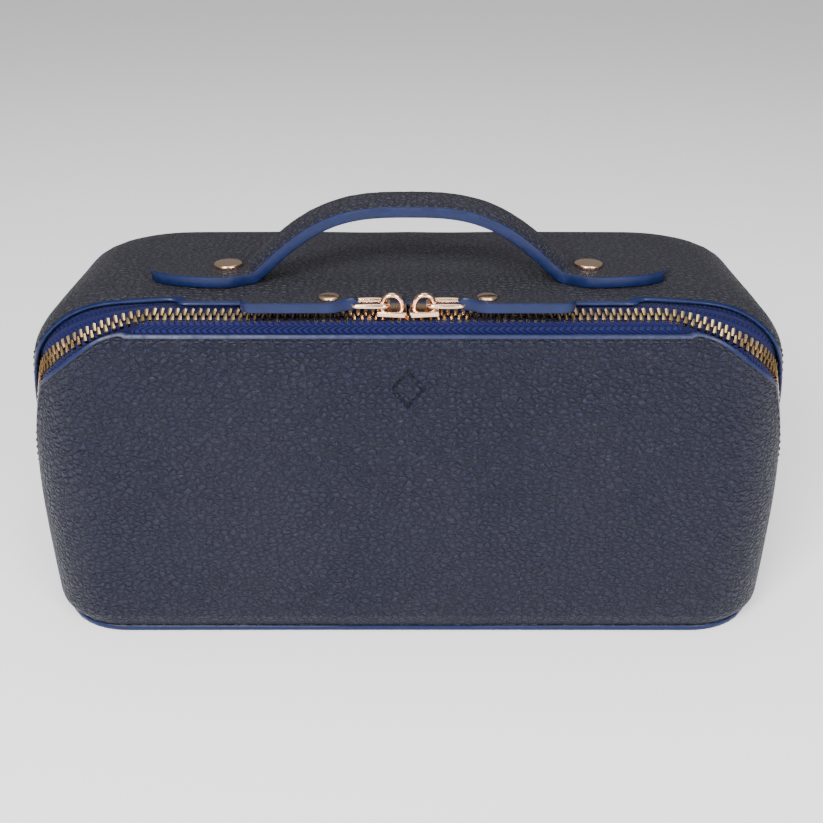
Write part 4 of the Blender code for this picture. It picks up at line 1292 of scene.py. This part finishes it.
@dataclass
class Zip:
    """The zip: tapes, separate teeth, stops, end gussets, and the seams beside it."""

    palette: Palette
    shells: ShellMaker
    pitch: float = 2.45 * MM
    tooth_half_width: float = 0.56 * MM
    tooth_span: Pair = (-0.42 * MM, 2.75 * MM)
    tooth_height: float = 1.7 * MM
    chain_depth: float = 2.0 * MM
    tape_depths: Pair = (2.1 * MM, 2.7 * MM)
    tape_reach: Pair = (1.0 * MM, 9.8 * MM)
    stitch_pitch: float = 3.7 * MM
    stitch_length: float = 2.5 * MM
    stitch_radius: float = 0.34 * MM
    stitch_proud: float = 0.1 * MM
    case_edge: float = 7.4 * MM
    lid_edge: float = 3.7 * MM
    seam_inset: float = 2.6 * MM

    def tooth(self, sign: float) -> bpy.types.Object:
        """One tooth at the origin: +X along the chain, +Y to the lid, +Z out."""
        deselect()
        bpy.ops.mesh.primitive_cube_add(size=1.0)
        tooth = named("tooth_pattern")
        bpy.ops.object.mode_set(mode="EDIT")
        bpy.ops.mesh.select_all(action="SELECT")
        bpy.ops.mesh.subdivide(number_cuts=1)
        bpy.ops.object.mode_set(mode="OBJECT")
        near, far = self.tooth_span
        for vertex in tooth.data.vertices:
            x, y, z = vertex.co * 2
            share = (y + 1) / 2
            head = 1 - 0.32 * max(0.0, -y)
            legs = 1 + 0.14 * max(0.0, y)
            dome = 1.0 if abs(x) < 0.5 else 0.72
            vertex.co.x = x * self.tooth_half_width * head * legs
            vertex.co.y = sign * mix(near, far, share) * (1.0 if abs(x) < 0.5 or y == 0 else 0.94)
            vertex.co.z = z * self.tooth_height / 2 * dome * (0.86 if y < 0 else 1.0)
        if sign < 0:
            close_up(tooth, weld=False)
        return tooth

    def stitch(self) -> bpy.types.Object:
        """One sewn stitch at the origin, arched so that its ends sink in."""
        deselect()
        bpy.ops.mesh.primitive_uv_sphere_add(segments=8, ring_count=7, radius=1.0)
        stitch = named("stitch_pattern")
        for vertex in stitch.data.vertices:
            x, y, z = vertex.co.z, vertex.co.x, vertex.co.y
            vertex.co = Vector((x * self.stitch_length / 2, y * self.stitch_radius, z * self.stitch_radius))
            vertex.co.z -= 0.3 * MM * x * x
        close_up(stitch, weld=False)
        return stitch

    def build(self) -> None:
        """Build both halves of the zip and what closes its ends."""
        line = self.shells.line
        end = line.turn_at(line.zip_end)
        path = line.path(0.0, end, 0.03)
        for word, sign, phase in (("case", -1.0, 0.0), ("lid", 1.0, 0.5)):
            near, far = self.tape_reach
            offsets = (-far, -near) if sign < 0 else (near, far)
            flare = 5.2 * MM if sign > 0 else 0.0
            tape = self.shells.strip(f"{word}_zip_tape", offsets, self.tape_depths, path, 10, flare=flare)
            finished(tape, word, [self.palette.tape], [f"zip_tape_{word}"])
            spots = line.walk(0.0, self.chain_depth, self.pitch, phase, end)
            teeth = scattered(f"{word}_zip_teeth", self.tooth(sign), spots)
            finished(teeth, word, [self.palette.teeth], [f"zip_teeth_{word}"])
        for word, side in (("left", -1.0), ("right", 1.0)):
            self.build_end(word, side)
        self.build_seams(end)

    def build_end(self, word: str, side: float) -> None:
        """A metal stop, and the leather gusset that joins case and lid beyond it."""
        line = self.shells.line
        stop_turns = [line.turn_at(line.zip_end + beyond) for beyond in spaced(0.8 * MM, 3.4 * MM, 6)]
        half_width = 2.3 * MM
        stop = self.shells.strip(
            f"{word}_end_stop", (-half_width, half_width), (1.1 * MM, 2.9 * MM), [(t, side) for t in stop_turns], 6, 0.5 * MM
        )
        finished(stop, "case", [self.palette.teeth], [f"zip_stop_{word}"])
        turns = [line.turn_at(line.zip_end + beyond) for beyond in spaced(-1.0 * MM, 26.0 * MM, 24)]
        gusset = self.shells.strip(
            f"{word}_end_gusset", (-9.0 * MM, 6.5 * MM), (1.7 * MM, 2.5 * MM), [(t, side) for t in turns], 20, 0.0, True
        )
        folding(gusset, self.palette.strap, f"zip_end_patch_{word}", line.fold_rise)

    def build_seams(self, end: float) -> None:
        """The two rows of stitches beside the zip, through the case's and the lid's edges."""
        line = self.shells.line
        for word, edge, sign in (("case", self.case_edge, -1.0), ("lid", self.lid_edge, 1.0)):
            offset = sign * (edge + self.seam_inset)
            flare = 3.0 * MM if sign < 0 else 9.6 * MM
            spots = line.walk(offset, -self.stitch_proud, self.stitch_pitch, 0.25, end, flare)
            seam = scattered(f"{word}_edge_seam", self.stitch(), spots)
            finished(seam, word, [self.palette.thread])


@dataclass
class BackHinge:
    """The leather strip over the fold at the back, where the lid turns."""

    palette: Palette
    shells: ShellMaker
    half_height: float = 6.0 * MM
    proud: float = 0.75 * MM
    reach_start: float = 228.0 * MM

    def build(self) -> None:
        """Build the strip over the back fold, between case and lid."""
        line = self.shells.line
        start = line.turn_at(self.reach_start)
        turns = spaced(start, 4.0, 40)
        path = [(turn, 1.0) for turn in turns] + [(turn, -1.0) for turn in turns[-2::-1]]
        strip = self.shells.strip(
            "back_hinge_strip", (-self.half_height, self.half_height), (-self.proud, 0.0), path, 16
        )
        folding(strip, self.palette.strap, "back_hinge_fold", line.fold_rise)


@dataclass
class Handle:
    """The padded strap handle with its leaf-shaped ends, rivets and seams."""

    palette: Palette
    shells: ShellMaker
    centre_y: float = -24.0 * MM
    foot: float = 52.0 * MM
    arch_height: float = 22.6 * MM
    leaf_centre: float = 61.5 * MM
    leaf_tip: float = 87.5 * MM
    leaf_half_width: float = 12.4 * MM
    strap_half_width: float = 7.7 * MM
    thickness: float = 3.7 * MM
    crown: float = 3.0 * MM
    pad_end: float = 56.5 * MM
    pad_fade: float = 7.0 * MM
    pad_share: float = 0.8
    seat_gap: float = 0.3 * MM
    paint_bulge: float = 0.45 * MM

    def arch(self, x: float) -> float:
        """Height of the strap's underside over the lid."""
        share = min(abs(x) / self.foot, 1.0)
        return self.arch_height * (1 - share ** 3) ** 1.35

    def half_width(self, x: float) -> float:
        """Half the strap's width at a distance from the middle."""
        x = abs(x)
        if x <= self.leaf_centre:
            ease = 11.0 * MM
            share = smooth((x - self.leaf_centre + ease) / ease)
            return mix(self.strap_half_width, self.leaf_half_width, share)
        share = (x - self.leaf_centre) / (self.leaf_tip - self.leaf_centre)
        return mix(1.6 * MM, self.leaf_half_width, math.sqrt(max(1 - share ** 1.9, 0.0)))

    def lift(self, x: float, across: float) -> float:
        """How far the padding raises the top leather."""
        fill = smooth((self.pad_end - abs(x)) / self.pad_fade)
        inside = clamp(1 - (across / self.pad_share) ** 2)
        pleat = 0.12 * MM * noise.noise(Vector((x * 420, across * 3.0, 4.0))) * fill
        return self.crown * fill * inside ** 0.72 + pleat

    def place(self, x: float, across: float, level: float, push: float = 0.0) -> Vector:
        """A point of the strap.

        Args:
            x: distance along the case from the handle's middle.
            across: share of the half width, -1 at the front edge.
            level: height above the strap's underside.
            push: extra distance outwards at the edge.

        Returns:
            The point, in metres.
        """
        step = 0.1 * MM
        slope = (self.arch(x + step) - self.arch(x - step)) / (2 * step)
        normal = Vector((-slope, 0.0, 1.0)).normalized()
        y = self.centre_y + across * self.half_width(x) + push
        base = self.shells.line.body.height + self.shells.top_crown * 0.5 + self.seat_gap
        return Vector((x, y, base + self.arch(x))) + normal * level

    def column(self, x: float) -> list[Vector]:
        """The strap's section at a station: underside, rear edge, top, front edge."""
        inner = 1 - 0.5 * MM / self.half_width(x)
        points = [self.place(x, across, 0.0) for across in spaced(-inner, inner, 6)]
        levels = spaced(-math.pi / 2, math.pi / 2, 6)
        half = self.thickness / 2
        for angle in levels[1:-1]:
            points.append(self.place(x, inner, half + half * math.sin(angle), self.edge_push(angle)))
        for across in spaced(inner, -inner, 26):
            points.append(self.place(x, across, self.thickness + self.lift(x, across)))
        for angle in levels[-2:0:-1]:
            points.append(self.place(x, -inner, half + half * math.sin(angle), -self.edge_push(angle)))
        return points

    def edge_push(self, angle: float) -> float:
        """How far the painted edge stands out at an angle round it."""
        return (self.paint_bulge + 0.1 * MM) * math.cos(angle) ** 0.6

    def stations(self) -> list[float]:
        """Places along the strap, closer together towards each tip."""
        middle = spaced(0.0, self.foot, 40)
        turns = spaced(0.0, math.pi / 2, 30)[1:]
        leaf = [mix(self.foot, self.leaf_tip, math.sin(angle)) for angle in turns]
        right = middle + leaf
        return [-x for x in right[:0:-1]] + right

    def build_strap(self) -> None:
        """The strap: leather above and below, with painted edges."""
        grid = [self.column(x) for x in self.stations()]
        top_end = 6 + 6 + 26

        def dress(_: int, row: int) -> int:
            return 1 if 6 <= row < 12 or row >= top_end else 0

        strap = wrap("handle_strap", grid, tube=True, dress=dress)
        nodes = ["handle_top_leather", "handle_core", "handle_under_leather"]
        finished(strap, "lid", [self.palette.strap, self.palette.paint], nodes)

    def build_seams(self) -> None:
        """Stitches along both margins of the strap, and across it where the padding ends."""
        spots = []
        across_rows = (-0.88, 0.88)
        for across in across_rows:
            for x in np.arange(-54.0 * MM, 54.1 * MM, 3.0 * MM):
                spots.append(self.seam_spot(float(x), across, along_strap=True))
        for x in (-57.2 * MM, 57.2 * MM):
            for across in (-0.6, -0.2, 0.2, 0.6):
                spots.append(self.seam_spot(x, across, along_strap=False))
        stitch = Zip(self.palette, self.shells, stitch_length=2.1 * MM).stitch()
        seam = scattered("handle_seam", stitch, spots)
        finished(seam, "lid", [self.palette.thread])

    def seam_spot(self, x: float, across: float, along_strap: bool) -> Spot:
        """A stitch's place on the top leather, with its axes."""
        step = 0.4 * MM
        level = self.thickness + self.lift(x, across) + 0.05 * MM
        place = self.place(x, across, level)
        along = (self.place(x + step, across, level) - self.place(x - step, across, level)).normalized()
        side = Vector((0.0, 1.0, 0.0))
        if along_strap:
            return Spot(place, along, side, along.cross(side))
        return Spot(place, side, -along, side.cross(-along))

    def build_rivets(self) -> None:
        """The two flat-capped rivets and the washers behind the lining."""
        for word in ("left", "right"):
            node = f"handle_rivet_{word}"
            low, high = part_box(node)
            centre = middle_of(node)
            radius = (high.x - low.x) / 2
            foot = Vector((centre.x, centre.y, 0.0))
            cap = high.z
            seat = cap - 1.6 * MM
            profile = [(1.3 * MM, low.z), (1.3 * MM, seat)]
            profile += [(radius - 0.4 * MM, seat), (radius - 0.1 * MM, seat + 0.2 * MM)]
            profile += [(radius, seat + 0.5 * MM), (radius, cap - 0.55 * MM)]
            for angle in spaced(0.0, math.pi / 2, 4)[1:]:
                profile.append((radius - 0.5 * MM * (1 - math.cos(angle)), cap - 0.55 * MM + 0.5 * MM * math.sin(angle)))
            profile += [(radius * 0.6, cap), (radius * 0.2, cap + 0.05 * MM)]
            rivet = turned(f"{word}_handle_rivet", foot, profile)
            finished(rivet, "lid", [self.palette.rose], [node])
            low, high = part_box(f"rivet_washer_{word}")
            outer, hole = (high.x - low.x) / 2, 1.75 * MM
            ring = [(hole, low.z), (outer - 0.3 * MM, low.z), (outer, low.z + 0.3 * MM)]
            ring += [(outer, high.z), (hole, high.z)]
            grid = []
            for k in range(40):
                ray = Vector((math.cos(2 * math.pi * k / 40), math.sin(2 * math.pi * k / 40), 0.0))
                grid.append([foot + ray * r + Vector((0, 0, z)) for r, z in ring])
            washer = wrap(f"{word}_rivet_washer", grid, ring=True, tube=True)
            finished(washer, "lid", [self.palette.rose], [f"rivet_washer_{word}"])

    def build(self) -> None:
        """Build the handle."""
        self.build_strap()
        self.build_seams()
        self.build_rivets()


@dataclass
class ZipPull:
    """A slider with its crown, the link through it, and the leather tab on the link."""

    palette: Palette
    shells: ShellMaker
    word: str
    sign: float
    tilt: float = math.radians(8.0)
    plate_x: Pair = (0.5 * MM, 10.0 * MM)
    plate_levels: Pair = (2.1 * MM, 3.0 * MM)
    plate_half_width: float = 4.2 * MM
    crown_half_length: float = 3.4 * MM
    crown_height: float = 4.8 * MM
    link_x: Pair = (6.2 * MM, 18.2 * MM)
    link_y: float = -50.0 * MM
    link_z: float = 122.4 * MM
    link_half_width: float = 3.1 * MM
    tab_y: float = -51.6 * MM
    tab_half_width: float = 5.3 * MM
    tab_levels: Pair = (121.3 * MM, 124.7 * MM)
    tab_tip: float = 53.8 * MM
    nose_radius: float = 2.1 * MM
    rivet_x: float = 25.4 * MM

    def slider_point(self, x: float, up: float, across: float) -> Vector:
        """A point of the slider, from its own directions along, out of and across the chain."""
        centre = self.shells.line.spot(0.0, 1.0, 0.0, 2.0 * MM)
        cos, sin = math.cos(self.tilt), math.sin(self.tilt)
        y = centre.y + across * cos - up * sin
        return Vector((self.sign * x, y, centre.z + across * sin + up * cos))

    def slider_block(
        self, name: str, xs: Pair, ups: Pair, acrosses: Pair, taper: float
    ) -> bpy.types.Object:
        """A rounded block of the slider, narrower towards its tail."""
        low = Vector((xs[0], ups[0], acrosses[0]))
        high = Vector((xs[1], ups[1], acrosses[1]))
        piece = block(name, low, high, 0.35 * MM)
        for vertex in piece.data.vertices:
            x, up, across = vertex.co
            share = (x - self.plate_x[0]) / (self.plate_x[1] - self.plate_x[0])
            vertex.co = self.slider_point(x, up, across * (1 - taper * smooth(share)))
        close_up(piece, weld=False)
        return piece

    def build_slider(self) -> None:
        """The two plates, the flanges, the wedge and the crown, joined."""
        near, far = self.plate_x
        low, high = self.plate_levels
        wide = self.plate_half_width
        flange = (low - 0.9 * MM, high - 0.1 * MM)
        blocks = (
            ("plate", (near, far), (low, high), (-wide, wide), 0.18),
            ("front_flange", (near + 0.4 * MM, far), flange, (-wide, -wide + 0.9 * MM), 0.18),
            ("back_flange", (near + 0.4 * MM, far), flange, (wide - 0.9 * MM, wide), 0.18),
            ("under_plate", (near, far), (-high, -low), (-2.6 * MM, 3.6 * MM), 0.1),
            ("wedge", (near + 0.2 * MM, near + 2.6 * MM), (1.0 * MM, low + 0.2 * MM), (-0.3 * MM, 0.3 * MM), 0.0),
        )
        pieces = [self.slider_block(f"{name}_{self.word}", *rest) for name, *rest in blocks]
        middle = (near + far) / 2
        points, radii = [], []
        for angle in spaced(0.0, math.pi, 28):
            along = middle + self.crown_half_length * math.cos(angle)
            up = high - 0.3 * MM + self.crown_height * math.sin(angle) ** 0.8
            points.append(self.slider_point(along, up, 0.0))
            radii.append((0.78 * MM, 1.05 * MM))
        side = (self.slider_point(0, 0, 1.0) - self.slider_point(0, 0, 0.0)).normalized()
        pieces.append(swept(f"crown_{self.word}", points, side, radii))
        deselect()
        for piece in pieces:
            piece.select_set(True)
        bpy.context.view_layer.objects.active = pieces[0]
        bpy.ops.object.join()
        slider = named(f"{self.word}_zip_slider")
        node = f"slider_{self.word}"
        finished(slider, f"{self.word}_slider", [self.palette.rose], [node])

    def build_link(self) -> None:
        """The link: a loop of wire, fuller along its two prongs."""
        near, far = self.link_x
        half, corner = self.link_half_width, 1.9 * MM
        centres = (
            (far - corner, half - corner, 0),
            (near + corner, half - corner, 1),
            (near + corner, -half + corner, 2),
            (far - corner, -half + corner, 3),
        )
        flat = []
        for x, y, quarter in centres:
            for angle in spaced(quarter * math.pi / 2, (quarter + 1) * math.pi / 2, 6):
                flat.append((x + corner * math.cos(angle), y + corner * math.sin(angle)))
            if quarter in (0, 2):
                start = flat[-1]
                direction = -1.0 if quarter == 0 else 1.0
                length = far - near - 2 * corner
                for k in range(1, 8):
                    flat.append((start[0] + direction * length * k / 8, start[1]))
        points, radii = [], []
        middle, reach = (near + far) / 2, (far - near) / 2 - corner
        for x, y in flat:
            points.append(Vector((self.sign * x, self.link_y + y, self.link_z)))
            fullness = 0.32 * MM * max(0.0, 1 - ((x - middle) / (reach + corner)) ** 2) * (abs(y) > half - 0.3 * MM)
            radii.append((0.6 * MM + fullness * 0.8, 0.6 * MM + fullness))
        link = swept(f"{self.word}_pull_link", points, Vector((0, 0, 1)), radii, closed=True)
        node = f"pull_link_{self.word}"
        finished(link, f"{self.word}_link", [self.palette.rose], [node])

    def tab_levels_at(self, x: float) -> Pair:
        """The tab's underside and top at a distance along it; its end rolls round the link."""
        low, high = self.tab_levels
        centre_z = self.link_z + 0.5 * MM
        bar = self.link_x[1]
        if x < bar:
            half = math.sqrt(max(self.nose_radius ** 2 - (bar - x) ** 2, (0.15 * MM) ** 2))
            return centre_z - half, centre_z + half
        share = smooth((x - bar) / (9.0 * MM))
        bottom = mix(centre_z - self.nose_radius, low, share)
        return bottom, mix(centre_z + self.nose_radius, high, share)

    def tab_edges_at(self, x: float) -> Pair:
        """The tab's front and rear edge at a distance along it."""
        share = smooth((x - self.link_x[1] + 1 * MM) / (9.0 * MM))
        front = mix(self.link_y - 2.3 * MM, self.tab_y - self.tab_half_width, share)
        back = mix(self.link_y + 2.1 * MM, self.tab_y + self.tab_half_width, share)
        straight = self.tab_tip - self.tab_half_width
        if x > straight:
            round_off = math.sqrt(max(1 - ((x - straight) / self.tab_half_width) ** 2, 0.0004))
            front = self.tab_y + (front - self.tab_y) * round_off
            back = self.tab_y + (back - self.tab_y) * round_off
        return front, back

    def build_tab(self) -> None:
        """The tab: folded leather with painted edges, rounded at its tip."""
        bar = self.link_x[1]
        nose = [bar - self.nose_radius * math.cos(angle) for angle in spaced(0.06, math.pi / 2, 8)]
        body = spaced(bar, self.tab_tip - self.tab_half_width, 36)[1:]
        straight = self.tab_tip - self.tab_half_width
        turns = spaced(0.0, math.pi / 2, 16)[1:]
        tip = [straight + self.tab_half_width * math.sin(angle) for angle in turns]
        grid = []
        for x in nose + body + tip:
            low, high = self.tab_levels_at(x)
            front, back = self.tab_edges_at(x)
            trim = min(0.35 * MM, (back - front) * 0.2)
            half, centre = (high - low) / 2, (high + low) / 2
            column = [Vector((self.sign * x, y, low)) for y in spaced(front + trim, back - trim, 5)]
            angles = spaced(-math.pi / 2, math.pi / 2, 6)[1:-1]
            for angle in angles:
                reach = trim * math.cos(angle) ** 0.5
                column.append(Vector((self.sign * x, back - trim + reach, centre + half * math.sin(angle))))
            for y in spaced(back - trim, front + trim, 8):
                column.append(Vector((self.sign * x, y, high)))
            for angle in angles[::-1]:
                reach = trim * math.cos(angle) ** 0.5
                column.append(Vector((self.sign * x, front + trim - reach, centre + half * math.sin(angle))))
            grid.append(column)

        def dress(_: int, row: int) -> int:
            return 1 if 5 <= row < 11 or row >= 19 else 0

        tab = wrap(f"{self.word}_pull_tab", grid, tube=True, dress=dress)
        materials = [self.palette.strap, self.palette.paint]
        finished(tab, f"{self.word}_tab", materials, [f"pull_tab_{self.word}"])

    def build_rivet(self) -> None:
        """The low domed rivet through the tab."""
        node = f"pull_rivet_{self.word}"
        low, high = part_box(node)
        centre = middle_of(node)
        radius = (high.x - low.x) / 2
        foot = Vector((centre.x, centre.y, 0.0))
        seat = high.z - 1.1 * MM
        profile = [(1.2 * MM, low.z), (1.2 * MM, seat), (radius - 0.2 * MM, seat), (radius, seat + 0.2 * MM)]
        for angle in spaced(0.0, math.pi / 2 - 0.1, 6):
            profile.append((radius * math.cos(angle), seat + 0.25 * MM + 0.95 * MM * math.sin(angle) ** 0.8))
        rivet = turned(f"{self.word}_pull_rivet", foot, profile, 36)
        finished(rivet, f"{self.word}_tab", [self.palette.rose], [node])

    def build(self) -> None:
        """Build the slider, the link, the tab and its rivet."""
        self.build_slider()
        self.build_link()
        self.build_tab()
        self.build_rivet()


@dataclass
class JewelleryInsert:
    """The lift-in tray: ring rolls on the left, divided bays on the right."""

    palette: Palette
    wall: float = 2.0 * MM
    roll_count: int = 5
    roll_squash: float = 0.9

    def build_tray(self) -> None:
        """The tray, pressed from board and covered with suede."""
        low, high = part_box("jewellery_tray")
        tray = block("lift_in_tray", low, high, 1.4 * MM)
        choose(tray)
        top = max(vertex.co.z for vertex in tray.data.vertices)
        bpy.ops.object.mode_set(mode="EDIT")
        bpy.ops.mesh.select_mode(type="FACE")
        bpy.ops.mesh.select_all(action="DESELECT")
        bpy.ops.object.mode_set(mode="OBJECT")
        for polygon in tray.data.polygons:
            polygon.select = polygon.center.z > top - 1e-6
        bpy.ops.object.mode_set(mode="EDIT")
        bpy.ops.mesh.inset(thickness=0.7 * MM)
        bpy.ops.mesh.extrude_region_move(TRANSFORM_OT_translate={"value": (0, 0, -(high.z - low.z) + self.wall)})
        bpy.ops.object.mode_set(mode="OBJECT")
        finished(tray, "case", [self.palette.suede], ["jewellery_tray"])

    def build_walls(self) -> None:
        """The dividers, each a board wrapped in suede with a rounded top."""
        for node in ("ring_bay_wall", "long_divider", "cross_divider_front", "cross_divider_back"):
            low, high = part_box(node)
            divider = block(f"wrapped_{node}", low, high, 0.75 * MM, 4)
            finished(divider, "case", [self.palette.suede], [node])

    def build_rolls(self) -> None:
        """The ring rolls: stuffed tubes, pinched a little at both ends."""
        for k in range(1, self.roll_count + 1):
            node = f"ring_roll_{k}"
            low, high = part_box(node)
            centre = (low + high) / 2
            radius = (high.x - low.x) / 2
            grid = []
            for share in spaced(0.0, 1.0, 44):
                y = mix(low.y, high.y, share)
                end = min(share, 1 - share) * (high.y - low.y)
                fill = math.sqrt(clamp(1 - (1 - clamp(end / (4.5 * MM))) ** 2, 0.02))
                column = []
                for n in range(28):
                    angle = 2 * math.pi * n / 28
                    soft = 1 + 0.012 * noise.noise(Vector((math.cos(angle) * 2, y * 160, math.sin(angle) * 2 + k)))
                    reach = radius * mix(0.35, 1.0, fill) * soft
                    over, up = reach * math.cos(angle), reach * math.sin(angle)
                    place = Vector((centre.x + over, y, centre.z + up))
                    place.z = max(place.z, low.z)
                    column.append(place)
                grid.append(column)
            roll = wrap(f"stuffed_roll_{k}", grid, tube=True)
            finished(roll, "case", [self.palette.suede], [node])

    def build(self) -> None:
        """Build the insert."""
        self.build_tray()
        self.build_walls()
        self.build_rolls()


# ---------------------------------------------------------------- the studio


@dataclass
class Studio:
    """Camera, soft lights, pale floor and surroundings."""

    camera_place: tuple[float, float, float] = (0.00109, -0.3865, 0.2423)
    camera_tilt: float = math.radians(64.79)
    lens: float = 48.3

    def build_camera(self) -> None:
        """The camera, a little above the case and in front of it."""
        data = bpy.data.cameras.new("camera")
        data.lens = self.lens
        data.sensor_width = 36.0
        data.clip_start = 0.01
        camera = bpy.data.objects.new("camera", data)
        camera.location = self.camera_place
        camera.rotation_euler = (self.camera_tilt, 0.0, 0.0)
        bpy.context.collection.objects.link(camera)
        bpy.context.scene.camera = camera

    def soft_box(self, name: str, place: Vector, size: float, power: float) -> None:
        """A square area light that faces the case."""
        data = bpy.data.lights.new(name, "AREA")
        data.shape = "SQUARE"
        data.size = size
        data.energy = power
        lamp = bpy.data.objects.new(name, data)
        lamp.location = place
        lamp.rotation_euler = (Vector((0, 0, 0.07)) - place).to_track_quat("-Z", "Y").to_euler()
        bpy.context.collection.objects.link(lamp)

    def build(self) -> None:
        """Build the studio."""
        self.build_camera()
        self.soft_box("key", Vector((-0.45, -0.95, 0.75)), 0.5, 26.0)
        self.soft_box("fill", Vector((0.55, -0.95, 0.6)), 0.5, 14.0)
        self.soft_box("top", Vector((0.0, 0.1, 1.2)), 0.8, 5.0)
        deselect()
        bpy.ops.mesh.primitive_plane_add(size=6.0, location=(0, 0, -0.0004))
        floor = named("floor")
        material, _, shader = start_material("pale floor")
        shader.inputs["Base Color"].default_value = (0.93, 0.93, 0.93, 1.0)
        shader.inputs["Emission Color"].default_value = (1.0, 1.0, 1.0, 1.0)
        shader.inputs["Emission Strength"].default_value = 0.4
        shader.inputs["Roughness"].default_value = 0.9
        floor.data.materials.append(material)
        world = bpy.data.worlds.new("surroundings")
        world.use_nodes = True
        background = world.node_tree.nodes["Background"]
        background.inputs["Color"].default_value = (1.0, 1.0, 1.0, 1.0)
        background.inputs["Strength"].default_value = 0.25
        bpy.context.scene.world = world


# ---------------------------------------------------------------- assembly


def main() -> None:
    """Build every sub-assembly in order."""
    logging.basicConfig(level=logging.INFO, format="%(name)s %(message)s")
    palette = Palette()
    shells = ShellMaker()
    Studio().build()
    parts = [
        CaseBody(palette, shells),
        Lid(palette, shells),
        Zip(palette, shells),
        BackHinge(palette, shells),
        Handle(palette, shells),
        ZipPull(palette, shells, "left", -1.0),
        ZipPull(palette, shells, "right", 1.0),
        JewelleryInsert(palette),
    ]
    for part in parts:
        part.build()
    deselect()


if __name__ == "__main__":
    main()
